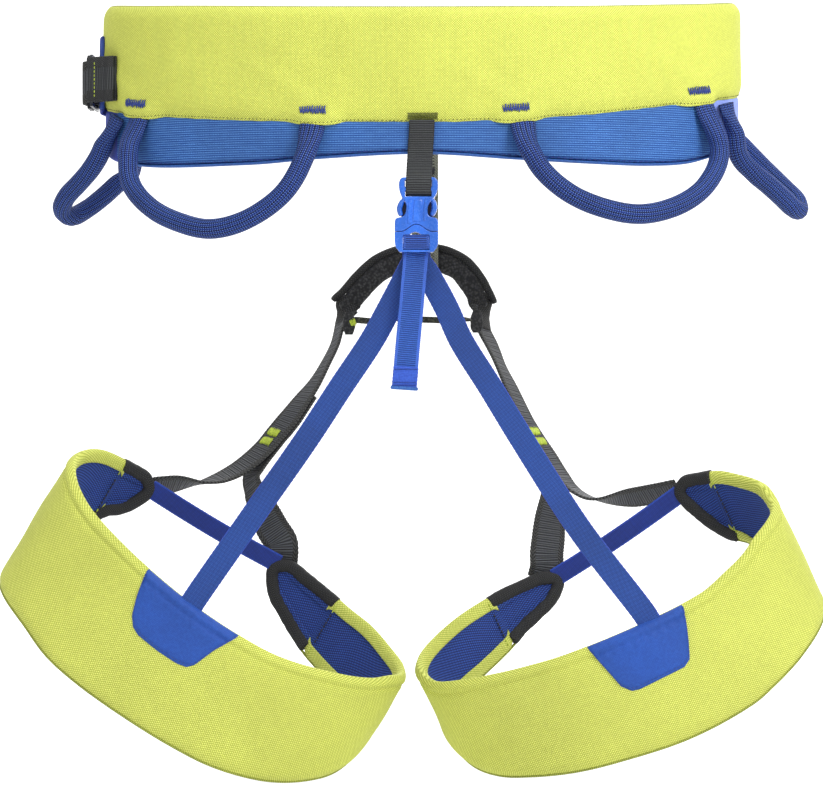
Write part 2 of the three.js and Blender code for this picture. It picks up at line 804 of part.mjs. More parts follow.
add("buckle_male", geometryFrom(male), buckleBlue, 0.35);

const femaleBottomHalf = 9.6;
const windowHalf = 7.4;
const windowTop = -83.4;
const windowBottom = -91.6;
const lowerBarBack = 0.4;
const femaleSide = 4;
const femaleTaper = 8;
const femaleSpread = 0.8;
const femaleCorner = 1;
const femaleShape = new THREE.Shape();
femaleShape.moveTo(-buckleHalf, partSideZ - seatGap * half);
partingCurve(femaleShape, -seatGap * half);
femaleShape.lineTo(buckleHalf, partSideZ - femaleSide);
femaleShape.quadraticCurveTo(
  buckleHalf, partSideZ - femaleTaper, femaleBottomHalf + femaleSpread, buckleBottom + femaleCorner);
femaleShape.quadraticCurveTo(
  femaleBottomHalf + femaleSpread * half, buckleBottom, femaleBottomHalf - femaleCorner, buckleBottom);
femaleShape.lineTo(-femaleBottomHalf + femaleCorner, buckleBottom);
femaleShape.quadraticCurveTo(
  -femaleBottomHalf - femaleSpread * half, buckleBottom,
  -femaleBottomHalf - femaleSpread, buckleBottom + femaleCorner);
femaleShape.quadraticCurveTo(-buckleHalf, partSideZ - femaleTaper, -buckleHalf, partSideZ - femaleSide);
femaleShape.lineTo(-buckleHalf, partSideZ - seatGap * half);
let female = solidFrom(buckleGeometry(femaleShape, buckleThick));
female = female.subtract(block(
  [buckleX - windowHalf, buckleY - halfThick - cutOver, windowBottom],
  [buckleX + windowHalf, buckleY + halfThick + cutOver, windowTop],
));
female = female.subtract(block(
  [buckleX - windowHalf, buckleY - lowerBarBack, buckleBottom - cutOver],
  [buckleX + windowHalf, buckleY + halfThick + cutOver, windowBottom + cutOver],
));
for (const sign of [-1, 1]) {
  female = female.subtract(block(
    [buckleX + sign * prongX - prongHalf - seatGap, buckleY - prongThick * half - seatGap,
      partSideZ - prongLength - seatGap],
    [buckleX + sign * prongX + prongHalf + seatGap, buckleY + prongThick * half + seatGap,
      partSideZ + prongRoot],
  ));
}
add("buckle_female", geometryFrom(female), buckleBlue, 0.35);

// The two release arms: bent bars from the shoulders up beside the stem.
const armThick = 1.5;
const armFoot = shoulderZ + seatGap + armThick * half;
const armTop = -63.6;
const armReach = 3.4;
const armShares = [[0.47, 0], [0.265, 0.256], [0.324, 0.552], [0.647, 0.862], [1, 1]];
const armDepthShare = 0.4;
function releaseArm(sign) {
  const rows = armShares.map(([inward, rise]) =>
    [buckleX + sign * (buckleHalf - armReach * inward), buckleY, armFoot + (armTop - armFoot) * rise]);
  const rings = readRoute(rows, 10).map((step) => {
    const out = step.along.clone().cross(forward).normalize();
    return ringAt(step.place, forward, out, buckleThick * armDepthShare, armThick * half, tapeShape);
  });
  return loft(rings);
}
add("release_arm_left", releaseArm(-1), buckleBlue, 0.35);
add("release_arm_right", releaseArm(1), buckleBlue, 0.35);

// The leg loops. A place on a loop: angle round it, distance out of its middle surface and height on it.
function loopTools(loop) {
  const roll = rad(loop.roll);
  const outward = vec([loop.side * Math.cos(roll), 0, Math.sin(roll)]);
  const upward = vec([-loop.side * Math.sin(roll), 0, Math.cos(roll)]);
  const centre = vec(loop.centre);
  const edge = reader(loop.edgeShares);
  const heights = (angle) => {
    const [top, bottom] = edge(angle);
    return { top: top * legPadHeight, bottom: bottom * legPadHeight };
  };
  const facing = (angle) => {
    const t = rad(angle);
    return outward.clone().multiplyScalar(Math.cos(t) / legHalfLength)
      .addScaledVector(forward, Math.sin(t) / legHalfDepth).normalize();
  };
  const point = (angle, out, height) => {
    const t = rad(angle);
    return centre.clone()
      .addScaledVector(outward, legHalfLength * Math.cos(t))
      .addScaledVector(forward, legHalfDepth * Math.sin(t))
      .addScaledVector(facing(angle), out)
      .addScaledVector(upward, height);
  };
  return { ...loop, outward, upward, centre, heights, facing, point };
}

const bindingInset = bindingRadius * 2 + seatGap * 2;
function ease(share) {
  const t = Math.min(Math.max(share, 0), 1);
  return t * t * (3 - 2 * t);
}

// An edge's stretch: how much longer a step square to the edge is when it is taken along the height.
const stretchShare = 0.83;
function edgeStretch(tools, angle, name) {
  const step = 1;
  const rise = tools.heights(angle + step)[name] - tools.heights(angle - step)[name];
  const run = tools.point(angle + step, 0, 0).distanceTo(tools.point(angle - step, 0, 0));
  return 1 + (Math.hypot(1, rise / run) - 1) * stretchShare;
}

// How far the pad's edges draw back to leave room for the bindings at its two ends.
const bindingEaseAngle = 7;
const tipEaseAngle = 27;
const topEaseAngle = -226;
const bottomEaseAngle = -229;
function padHeights(tools, angle) {
  const { top, bottom } = tools.heights(angle);
  const tipEase = ease((angle - tipEaseAngle) / bindingEaseAngle);
  const topInset = bindingInset * (tipEase + ease((topEaseAngle - angle) / bindingEaseAngle));
  const bottomInset = bindingInset * (tipEase + ease((bottomEaseAngle - angle) / bindingEaseAngle));
  return {
    high: top - topInset * edgeStretch(tools, angle, "top"),
    low: bottom + bottomInset * edgeStretch(tools, angle, "bottom"),
  };
}

const legShellInner = 0;
function legPad(tools, inner, edge, full, inset) {
  const rings = Array.from({ length: legStations + 1 }, (_, i) => {
    const angle = padTipAngle + ((padTailAngle - padTipAngle) * i) / legStations;
    const { low, high } = padHeights(tools, angle);
    return padSection(low + inset, high - inset, inner, edge, full)
      .map(([height, out]) => tools.point(angle, out, height));
  });
  return loft(rings);
}

function bindingRings(tools, angles) {
  const shape = roundShape(8);
  const rows = angles.map(([angle, edge]) => {
    const { top, bottom } = tools.heights(angle);
    if (edge === "top") return [angle, top - bindingRadius * edgeStretch(tools, angle, "top")];
    if (edge === "bottom") return [angle, bottom + bindingRadius * edgeStretch(tools, angle, "bottom")];
    return [angle, (top + bottom) * half];
  });
  const read = reader(rows.map((row, i) => [i, ...row]));
  const count = 26;
  const steps = Array.from({ length: count }, (_, i) => read(((rows.length - 1) * i) / (count - 1)));
  const places = steps.map(([angle, height]) => tools.point(angle, 0, height));
  return steps.map(([angle], i) => {
    const before = places[Math.max(i - 1, 0)];
    const after = places[Math.min(i + 1, count - 1)];
    const along = after.clone().sub(before).normalize();
    const out = tools.facing(angle);
    const across = along.clone().cross(out).normalize();
    return ringAt(places[i], across, out, bindingRadius, bindingDepth, shape);
  });
}

function legLoop(tools, word) {
  add(`leg_shell_${word}`, legPad(tools, legShellInner, legEdgeThick, legShellThick, 0), yellow);
  add(`leg_lining_${word}`,
    legPad(tools, legShellInner - seatGap, -legEdgeThick, -legLiningThick, liningInset * half), deepBlue);
  add(`leg_binding_outer_${word}`, loft(bindingRings(tools, [
    [37.5, "top"], [41, "top"], [45, "top"], [48.5, "top"], [bindingTipAngle, "tip"],
    [48.5, "bottom"], [45, "bottom"], [41, "bottom"], [37.5, "bottom"],
  ])), black);
  add(`leg_binding_inner_${word}`, loft(bindingRings(tools, [
    [-238, "top"], [-245, "top"], [-251, "top"], [-257, "top"], [bindingTailAngle, "tip"],
    [-257, "bottom"], [-251, "bottom"], [-245, "bottom"], [-240, "bottom"],
  ])), black);
}
const left = loopTools(leftLoop);
const rightTools = loopTools(rightLoop);
legLoop(left, "left");
legLoop(rightTools, "right");

// The patch on each loop's rear: rows of angle, then its edges below the rim as shares of its depth.
const patchDepth = 32;
const patchLines = 4;
const patchShares = {
  left: [[-68.5, -0.062, 0.062], [-70, -0.062, 0.531], [-71.5, -0.062, 0.812], [-73.5, -0.062, 0.953],
    [-76, -0.062, 1.006], [-83, -0.062, 1.012], [-89.5, -0.062, 0.994], [-92.2, -0.062, 0.953],
    [-93.9, -0.062, 0.844], [-96.6, -0.062, 0.438], [-100.4, -0.062, 0.031]],
  right: [[-70.8, -0.062, 0.062], [-72.4, -0.062, 0.375], [-73.8, -0.062, 0.625], [-75.7, -0.062, 0.906],
    [-78, -0.062, 0.991], [-85.7, -0.062, 1.006], [-92, -0.062, 1.025], [-94.2, -0.062, 1],
    [-96.4, -0.062, 0.859], [-98.5, -0.062, 0.422], [-100.4, -0.062, 0.031]],
};
function legPatch(tools, word) {
  const rowsOf = patchShares[word];
  const read = reader(rowsOf);
  const angles = rowsOf.flatMap(([angle], i) =>
    (i === 0 ? [angle] : [(angle + rowsOf[i - 1][0]) * half, angle]));
  const rings = angles.map((angle) => {
    const [above, below] = read(angle);
    const { top, bottom } = tools.heights(angle);
    const high = top - above * patchDepth;
    const low = top - below * patchDepth;
    const rows = Array.from({ length: patchLines + 1 }, (_, k) => high + ((low - high) * k) / patchLines);
    const stand = (height) =>
      crown(Math.max(Math.min(top - height, height - bottom), 0), legEdgeThick, legShellThick) + seatGap;
    return [
      ...rows.map((height) => tools.point(angle, stand(height) + patchThick, height)),
      ...rows.reverse().map((height) => tools.point(angle, stand(height), height)),
    ];
  });
  add(`leg_patch_${word}`, loft(rings), blue);
}
legPatch(left, "left");
legPatch(rightTools, "right");

// The rear elastics: from behind the buckle's lower bar to each loop's rim under its patch.
const strapThick = 1.5;
const strapLayer = strapThick + seatGap;
const tailInsideY = buckleY - lowerBarBack + seatGap * 2 + strapThick * half;
const elasticDrop = 4;
const elasticAside = 1.2;
const elasticTopZ = buckleBottom - elasticDrop;
const elasticShares = {
  left: [[0, 0, 0], [0.022, 0.02, 0.03], [0.06, 0.1, 0.078], [0.117, 0.2, 0.148], [0.189, 0.35, 0.233],
    [0.333, 0.5, 0.373], [0.487, 0.65, 0.525], [0.74, 0.85, 0.758], [1, 1, 1]],
  right: [[0, 0, 0], [0.034, 0.02, 0.033], [0.08, 0.1, 0.083], [0.128, 0.2, 0.142], [0.184, 0.35, 0.222],
    [0.314, 0.5, 0.355], [0.452, 0.65, 0.5], [0.708, 0.85, 0.755], [1, 1, 1]],
};
const rearElastics = {
  left: { angle: -84.5, layerNumber: 1, clear: 1 },
  right: { angle: -81.5, layerNumber: 2, clear: 1.6 },
};
function rearElastic(tools, word) {
  const { angle, layerNumber, clear } = rearElastics[word];
  const rim = tools.heights(angle).top;
  const end = tools.point(angle, legEdgeThick - strapThick * half - seatGap * half, rim + clear);
  const start = vec([buckleX + tools.side * elasticAside, tailInsideY + layerNumber * strapLayer, elasticTopZ]);
  const span = end.clone().sub(start);
  const rows = elasticShares[word].map(([aside, deep, down]) =>
    [start.x + span.x * aside, start.y + span.y * deep, start.z + span.z * down]);
  add(`rear_elastic_${word}`, tape(rows, 24, strapWidth, strapThick), blue);
}
rearElastic(left, "left");
rearElastic(rightTools, "right");

// The elastic's free tail: from inside the window, behind the lower bar, then down in front.
const tailStand = 2.6;
const tailFrontY = buckleY - tailStand;
const tailTopInset = 1.2;
const tailLength = 74;
const tailAside = 6.6;
const tailShares = [[0.061, 0.225, 0.04], [0.182, 0.887, 0.162], [0.424, 1.169, 0.405], [0.758, 1.113, 0.73],
  [1, 1, 1]];
add("elastic_tail", tape([
  [buckleX, tailInsideY, windowTop - tailTopInset],
  [buckleX, tailInsideY, windowTop - elasticDrop],
  [buckleX, tailInsideY, buckleBottom],
  ...tailShares.map(([aside, deep, down]) => [
    buckleX - tailAside * aside,
    tailInsideY + (tailFrontY - tailInsideY) * deep,
    buckleBottom - tailLength * down,
  ]),
], 26, strapWidth, strapThick), blue);

// The padded lower tie-in arch and the upper tie-in loop with the belay loop through both.
const archMiddleX = -5.25;
const archHalfSpan = 41.75;
const archTopZ = -90.2;
const archDrop = 29.4;
const archShares = [[-1, 1], [-0.856, 0.742], [-0.713, 0.503], [-0.449, 0.18], [-0.09, 0], [0.341, 0],
  [0.665, 0.19], [0.844, 0.469], [0.95, 0.742], [1, 0.966]];
const archRows = archShares.map(([aside, down]) =>
  [archMiddleX + archHalfSpan * aside, frontY, archTopZ - archDrop * down]);
const archEndShare = 0.8;
function bulged(rows, count, width, thick, shape, ends) {
  const steps = readRoute(rows, count);
  return loft(steps.map((step, i) => {
    const u = i / (count - 1);
    const share = ends + (1 - ends) * Math.min(1, Math.sin(Math.PI * u) * 2.4);
    const { across, out } = tapeFrame(step);
    return ringAt(step.place, across, out, width * half * share, thick * half * share, shape);
  }));
}
add("tie_in_arch", bulged(archRows, 30, archWidth, archThick, roundShape(12), archEndShare), black);

const upperForward = 1.7;
const upperY = frontY + upperForward;
const upperTopZ = 14;
const upperDrop = 35;
const upperHalfSpan = 26;
const upperWidth = 14;
const upperThick = 3;
const upperShares = [[-1, 0], [-0.923, 0.4], [-0.615, 0.8], [0, 1], [0.615, 0.8], [0.923, 0.4], [1, 0]];
const upperRows = upperShares.map(([aside, down]) =>
  [belayX + upperHalfSpan * aside, upperY, upperTopZ - upperDrop * down]);
add("tie_in_upper", tape(upperRows, 24, upperWidth, upperThick), grey);

const belayPlay = 2.4;
const belayTopZ = -9.6;
const belayTurnSteps = 10;
const belayRunSteps = 8;
function belayRings() {
  const innerHalf = archThick * half + belayPlay;
  const top = belayTopZ - innerHalf;
  const bottom = archTopZ - archWidth * half - seatGap * 2 + innerHalf;
  const middleRadius = innerHalf + belayThick * half;
  const rings = [];
  for (const [z, start] of [[top, 0], [bottom, 180]]) {
    for (let i = 0; i <= belayTurnSteps; i += 1) {
      const turn = rad(start + (180 * i) / belayTurnSteps);
      const out = vec([0, Math.cos(turn), Math.sin(turn)]);
      const at = vec([belayX, frontY, z]).addScaledVector(out, middleRadius);
      rings.push(ringAt(at, right, out, belayWidth * half, belayThick * half, tapeShape));
    }
    const goingDown = start === 0;
    const from = goingDown ? top : bottom;
    const to = goingDown ? bottom : top;
    for (let i = 1; i < belayRunSteps; i += 1) {
      const out = vec([0, goingDown ? -1 : 1, 0]);
      const height = from + ((to - from) * i) / belayRunSteps;
      const at = vec([belayX, frontY, height]).addScaledVector(out, middleRadius);
      rings.push(ringAt(at, right, out, belayWidth * half, belayThick * half, tapeShape));
    }
  }
  return rings;
}
add("belay_loop", loft(belayRings(), true), grey);

// Webbing from the arch's ends down to the loops' tips. Rows are shares of the way across, forward and down.
const risers = {
  left: {
    from: archRows[0],
    drop: 2.1,
    lift: 6,
    shares: [
      [-0.02, 0, 0.013, -60], [0.018, 0.06, 0.082, -74], [0.054, 0.13, 0.204, -76], [0.106, 0.21, 0.314, -75],
      [0.166, 0.29, 0.423, -70], [0.243, 0.37, 0.531, -62], [0.308, 0.44, 0.623, -56], [0.379, 0.5, 0.713, -56],
      [0.439, 0.56, 0.787, -58], [0.509, 0.62, 0.854, -60], [0.592, 0.68, 0.916, -64], [0.696, 0.76, 0.966, -74],
      [0.773, 0.84, 0.985, -90], [0.901, 0.93, 0.99, -116], [1, 1, 1, -122],
    ],
  },
  right: {
    from: archRows[archRows.length - 1],
    drop: 0.4,
    lift: 4,
    shares: [
      [-0.01, 0, 0.01, -118], [0.006, 0.07, 0.117, -112], [0.055, 0.15, 0.224, -110], [0.101, 0.23, 0.33, -106],
      [0.151, 0.31, 0.436, -110], [0.199, 0.4, 0.541, -112], [0.246, 0.48, 0.646, -116], [0.299, 0.55, 0.739, -118],
      [0.357, 0.62, 0.827, -118], [0.421, 0.7, 0.919, -112], [0.494, 0.78, 1, -102], [0.597, 0.8, 1.048, -90],
      [0.796, 0.86, 1.041, -56], [1, 1, 1, -54],
    ],
  },
};
const riserStations = 44;
const tipOut = 1.8;
const tipBeyond = 3.2;
const tipForward = 6.5;

function riser(tools, word) {
  const { from, drop, shares, lift } = risers[word];
  const tip = tools.heights(bindingTipAngle);
  const end = tools.point(bindingTipAngle + tipBeyond, tipOut, (tip.top + tip.bottom) * half + lift);
  end.addScaledVector(forward, tipForward);
  const start = vec(from).addScaledVector(up, -drop);
  const span = end.clone().sub(start);
  const rows = shares.map(([x, y, z, turn]) =>
    [start.x + span.x * x, start.y + span.y * y, start.z + span.z * z, turn]);
  add(`riser_webbing_${word}`, tape(rows, riserStations, riserWidth, riserThick), grey);
  return readRoute(rows, riserStations);
}

// The second layer leaves the riser below the bar tacks and runs to the loop's inner end.
// Rows: places from its lower end as shares of the branch drop, then the turn.
const branchDrop = 50;
const branchShares = {
  left: [[-0.366, 0.24, 0.872, -60], [-0.338, 0.17, 0.694, -50], [-0.23, 0.1, 0.482, -26], [-0.108, 0.04, 0.248, -6],
    [-0.012, 0.01, 0.094, 0], [0, 0, 0, 0]],
  right: [[0.068, 0.24, 1.01, -119], [0.06, 0.17, 0.8, -130], [0.04, 0.1, 0.566, -153], [0.02, 0.04, 0.33, -174],
    [0, 0.01, 0.154, -180], [0, 0, 0, -180]],
};
const branchFirst = 14;
const branchLeaves = 22;
const branchGap = seatGap * 1.6;
const branchEndAngles = { left: -262, right: -260 };
const branchClear = 2.6;
const branchOut = 3;
function branch(tools, word, steps) {
  const offset = -(riserThick + branchGap) * tools.side;
  const rows = [];
  for (let i = branchFirst; i <= branchLeaves; i += 2) {
    const { out } = tapeFrame(steps[i]);
    const place = steps[i].place.clone().addScaledVector(out, offset);
    rows.push([place.x, place.y, place.z, steps[i].turn]);
  }
  const tip = tools.heights(branchEndAngles[word]);
  const end = tools.point(branchEndAngles[word], branchOut, tip.top + branchClear);
  for (const [x, y, z, turn] of branchShares[word]) {
    rows.push([end.x + x * branchDrop, end.y + y * branchDrop, end.z + z * branchDrop, turn]);
  }
  add(`inner_webbing_${word}`, tape(rows, 34, riserWidth, riserThick), grey);
}
branch(left, "left", riser(left, "left"));
branch(rightTools, "right", riser(rightTools, "right"));

// The dark elastic across each loop's front gap.
const elasticStand = -1.6;
const elasticTipAngle = 53.45;
const elasticTailAngle = -262.45;
const elasticLift = 2;
const elasticRise = { left: 2.4, right: 0.4 };
function legElastic(tools, word) {
  const tip = tools.heights(bindingTipAngle);
  const tail = tools.heights(bindingTailAngle);
  const tipHeight = (tip.top + tip.bottom) * half + elasticRise[word];
  const tailHeight = (tail.top + tail.bottom) * half + elasticRise[word] + elasticLift;
  const start = tools.point(elasticTipAngle, elasticStand, tipHeight);
  const end = tools.point(elasticTailAngle, elasticStand, tailHeight);
  const rows = [0, 0.33, 0.67, 1].map((share) => {
    const place = start.clone().lerp(end, share);
    return [place.x, place.y, place.z];
  });
  add(`leg_elastic_${word}`, tape(rows, 10, legElasticWidth, legElasticThick), deepBlue);
}
legElastic(left, "left");
legElastic(rightTools, "right");

// The thin cross elastic and its folded tabs beside the arch's ends.
const crossZ = -128;
const crossY = 69.3;
const crossLeftX = -39.8;
const crossRightX = 28.9;
const crossWidth = 4;
const crossThick = 1.2;
const crossShares = [[0, 0], [0.288, 40], [0.579, 100], [0.812, 60], [1, 0]];
const tabHalfHeight = 6;
const tabWidth = 7;
const tabThick = 4;
const tabEndShare = 0.6;
const tabLean = 2.2;
const tabPlaces = { left: { x: -43.8, z: -130 }, right: { x: 33, z: -128.4 } };
for (const [word, { x, z }] of Object.entries(tabPlaces)) {
  const rows = [1, 0, -1].map((end) => [x, crossY + tabLean * end, z + tabHalfHeight * end]);
  add(`elastic_tab_${word}`, bulged(rows, 8, tabWidth, tabThick, roundShape(8), tabEndShare), black);
}
add("cross_elastic", tape(crossShares.map(([share, turn]) =>
  [crossLeftX + (crossRightX - crossLeftX) * share, crossY, crossZ, turn]), 20, crossWidth, crossThick), black);

export default group;
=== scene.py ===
import math
import random

import bpy
import numpy as np
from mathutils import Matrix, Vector, noise


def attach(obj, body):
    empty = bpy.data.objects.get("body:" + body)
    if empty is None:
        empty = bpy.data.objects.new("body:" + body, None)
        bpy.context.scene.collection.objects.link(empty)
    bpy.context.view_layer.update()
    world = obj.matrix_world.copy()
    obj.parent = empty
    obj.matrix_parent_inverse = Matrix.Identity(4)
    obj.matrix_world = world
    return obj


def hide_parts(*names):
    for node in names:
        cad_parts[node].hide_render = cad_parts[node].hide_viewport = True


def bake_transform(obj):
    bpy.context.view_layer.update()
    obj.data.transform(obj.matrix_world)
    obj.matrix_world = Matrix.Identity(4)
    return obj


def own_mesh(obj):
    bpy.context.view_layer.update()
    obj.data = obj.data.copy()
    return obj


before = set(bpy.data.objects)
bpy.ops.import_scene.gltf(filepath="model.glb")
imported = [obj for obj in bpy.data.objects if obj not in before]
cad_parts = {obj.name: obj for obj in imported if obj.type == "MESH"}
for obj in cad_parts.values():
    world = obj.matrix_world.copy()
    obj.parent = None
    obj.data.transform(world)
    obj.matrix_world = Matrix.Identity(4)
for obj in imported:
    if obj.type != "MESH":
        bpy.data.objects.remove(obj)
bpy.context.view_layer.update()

# Lengths below are in millimetres, angles in degrees, in the frame of the CAD model.
mm = 0.001
camera_place = (-6.2, -1905, -172.15)
photo_width = 823
focal_pixels = 3272.7
sensor = 36
floor_height = -412

belt_half_width = 176
belt_half_depth = 80
belt_height = 85
lining_thick = 4.8
shell_thick = 4.5
band_thick = 3.2
belt_edge_shares = [
    (-208, 0.45, 0.02, -0.16), (-193, 0.59, -0.04, -0.3), (-180, 0.612, -0.087, -0.395),
    (-150, 0.56, -0.176, -0.513), (-123, 0.521, -0.238, -0.522), (-108, 0.506, -0.253, -0.488),
    (-90, 0.5, -0.261, -0.461), (-73, 0.507, -0.238, -0.494), (-58, 0.521, -0.194, -0.515),
    (-44, 0.545, -0.139, -0.518), (-31, 0.57, -0.088, -0.482), (0, 0.632, 0, -0.27),
    (14, 0.6, 0.03, -0.2), (28, 0.48, 0.05, -0.14),
]

leg_half_length = 112
leg_half_depth = 62
leg_height = 73
leg_out = 3.6
leg_in = -2.9
legs = {
    "left": {
        "side": -1, "centre": (-125.2, -25, -305.4), "roll": 30.5,
        "edges": [
            (58, 0.72, 0.56), (52, 0.74, 0.535), (46, 0.771, 0.374), (40, 0.775, 0.286), (25, 0.764, -0.11),
            (10, 0.7, -0.384), (0, 0.63, -0.507), (-16, 0.538, -0.555), (-38, 0.384, -0.644),
            (-54, 0.3, -0.753), (-67, 0.238, -0.801), (-83, 0.177, -0.829), (-100, 0.147, -0.84),
            (-114, 0.155, -0.822), (-132, 0.24, -0.726), (-150, 0.34, -0.562), (-162, 0.425, -0.432),
            (-180, 0.473, -0.178), (-190, 0.511, -0.068), (-206, 0.559, 0.014), (-222, 0.626, 0.055),
            (-232, 0.647, 0.099), (-241, 0.678, 0.166), (-252, 0.712, 0.308), (-259, 0.729, 0.425),
            (-266, 0.72, 0.56),
        ],
    },
    "right": {
        "side": 1, "centre": (111.6, -25, -308.3), "roll": 25.3,
        "edges": [
            (58, 0.8, 0.66), (52, 0.816, 0.616), (46, 0.823, 0.384), (41, 0.801, 0.236), (33, 0.764, 0.121),
            (23, 0.674, -0.11), (7, 0.547, -0.411), (0, 0.44, -0.507), (-10, 0.36, -0.555), (-23, 0.3, -0.63),
            (-35, 0.24, -0.705), (-43, 0.171, -0.76), (-53, 0.11, -0.822), (-64, 0.05, -0.882),
            (-85, 0.045, -0.901), (-107, 0.073, -0.833), (-120, 0.114, -0.774), (-135, 0.171, -0.678),
            (-148, 0.219, -0.589), (-162, 0.271, -0.452), (-180, 0.4, -0.205), (-190, 0.452, -0.11),
            (-209, 0.529, 0.02), (-225, 0.589, 0.084), (-237, 0.614, 0.159), (-244, 0.621, 0.227),
            (-255, 0.61, 0.314), (-261, 0.59, 0.388), (-268, 0.57, 0.44),
        ],
    },
}
binding_tip = 51.5
binding_tail = -261

gap = 0.3
webbing_thick = 1.8
forward = np.array((0.0, 1.0, 0.0))
up = np.array((0.0, 0.0, 1.0))
right = np.array((1.0, 0.0, 0.0))


# The camera stands where the photograph was taken from.
def make_camera():
    data = bpy.data.cameras.new("photo_camera")
    data.sensor_width = sensor
    data.lens = focal_pixels * sensor / photo_width
    data.clip_end = 20
    camera = bpy.data.objects.new("photo_camera", data)
    camera.location = [v * mm for v in camera_place]
    camera.rotation_euler = (math.pi / 2, 0, 0)
    bpy.context.scene.collection.objects.link(camera)
    bpy.context.scene.camera = camera


make_camera()
bpy.context.scene.view_settings.view_transform = "Standard"


def unit(v):
    return v / np.linalg.norm(v)


def clamp(value, low=0, high=1):
    return min(max(value, low), high)


def ease(share):
    """A share from 0 to 1 with a soft start and a soft end."""
    return share * share * (3 - 2 * share)


def bulge(value, power):
    """A power of a value that keeps its sign, which squares off a round section."""
    return math.copysign(abs(value) ** power, value)


def circle(count):
    return np.linspace(0, 2 * math.pi, count, endpoint=False)


def oval(spot, across, out, half_across, half_out, count, square_across=1, square_out=1):
    """A ring of places round a spot, squared off where a power under 1 is given."""
    return [spot + across * bulge(math.cos(t), square_across) * half_across
            + out * bulge(math.sin(t), square_out) * half_out for t in circle(count)]


def run_along(spots):
    """The distance of each place in a line from the line's start."""
    return np.concatenate([[0], np.cumsum(np.linalg.norm(np.diff(spots, axis=0), axis=1))])


def read_line(line, run, at):
    """The place in a line at a distance from its start."""
    return np.array([np.interp(at, run, line[:, k]) for k in range(3)])


def reader(rows):
    """Rows of numbers, read smoothly at any value of their first column."""
    rows = sorted(rows)
    table = np.array([row[1:] for row in rows], float)
    keys = [row[0] for row in rows]

    def read(at):
        k = 0
        while k < len(keys) - 2 and keys[k + 1] < at:
            k += 1
        before = max(k - 1, 0)
        after = min(k + 2, len(keys) - 1)
        span = keys[k + 1] - keys[k]
        t = clamp((at - keys[k]) / span)
        low, high = table[k], table[k + 1]
        slope_low = (high - table[before]) / (keys[k + 1] - keys[before]) * span
        slope_high = (table[after] - low) / (keys[after] - keys[k]) * span
        return (
            (2 * t**3 - 3 * t**2 + 1) * low + (t**3 - 2 * t**2 + t) * slope_low
            + (3 * t**2 - 2 * t**3) * high + (t**3 - t**2) * slope_high
        )

    return read


def spline(points):
    """A centripetal curve through points, read from 0 to 1."""
    p = [np.array(point[:3], float) for point in points]
    n = len(p)

    def corner(i):
        if i < 0:
            return 2 * p[0] - p[1]
        if i >= n:
            return 2 * p[-1] - p[-2]
        return p[i]

    def at(u):
        station = (n - 1) * u
        k = min(int(math.floor(station)), n - 2)
        w = station - k
        a, b, c, d = (corner(k + i) for i in (-1, 0, 1, 2))
        ab, bc, cd = (max(np.linalg.norm(q - r), 1e-6) ** 0.5 for q, r in ((b, a), (c, b), (d, c)))
        start = ((b - a) / ab - (c - a) / (ab + bc) + (c - b) / bc) * bc
        end = ((c - b) / bc - (d - b) / (bc + cd) + (d - c) / cd) * bc
        return (
            b + start * w + (-3 * b + 3 * c - 2 * start - end) * w**2
            + (2 * b - 2 * c + start + end) * w**3
        )

    return at


def direction(curve, u):
    return unit(curve(min(u + 1e-3, 1)) - curve(max(u - 1e-3, 0)))


def follow(points, step):
    """Even steps along a curve: places, directions, distances and the turn at each, from a fourth column."""
    curve = spline(points)
    fine = np.linspace(0, 1, 600)
    line = np.array([curve(u) for u in fine])
    run = run_along(line)
    count = max(int(run[-1] / step), 4)
    marks = np.linspace(0, run[-1], count + 1)
    us = np.interp(marks, run, fine)
    places = np.array([curve(u) for u in us])
    tangents = np.array([direction(curve, u) for u in us])
    turns = np.zeros(len(us))
    if len(points[0]) > 3:
        read = reader([(i, row[3]) for i, row in enumerate(points)])
        turns = np.array([read(u * (len(points) - 1))[0] for u in us])
    return places, tangents, marks, turns


def frames(tangents, turns):
    """A flat tape's directions: across its width and out of its face, turned from facing the rear."""
    across, out = [], []
    for along, turn in zip(tangents, turns):
        flat = unit(np.cross(along, forward))
        deep = unit(np.cross(flat, along))
        a = math.cos(math.radians(turn)) * flat + math.sin(math.radians(turn)) * deep
        across.append(a)
        out.append(unit(np.cross(a, along)))
    return np.array(across), np.array(out)


# Shaders. A small helper keeps node trees short.
sheen_roughness = 0.45
coat_roughness = 0.12


def linear(rgb):
    shares = [c / 255 for c in rgb]
    return tuple((c / 12.92) if c <= 0.04045 else ((c + 0.055) / 1.055) ** 2.4 for c in shares)


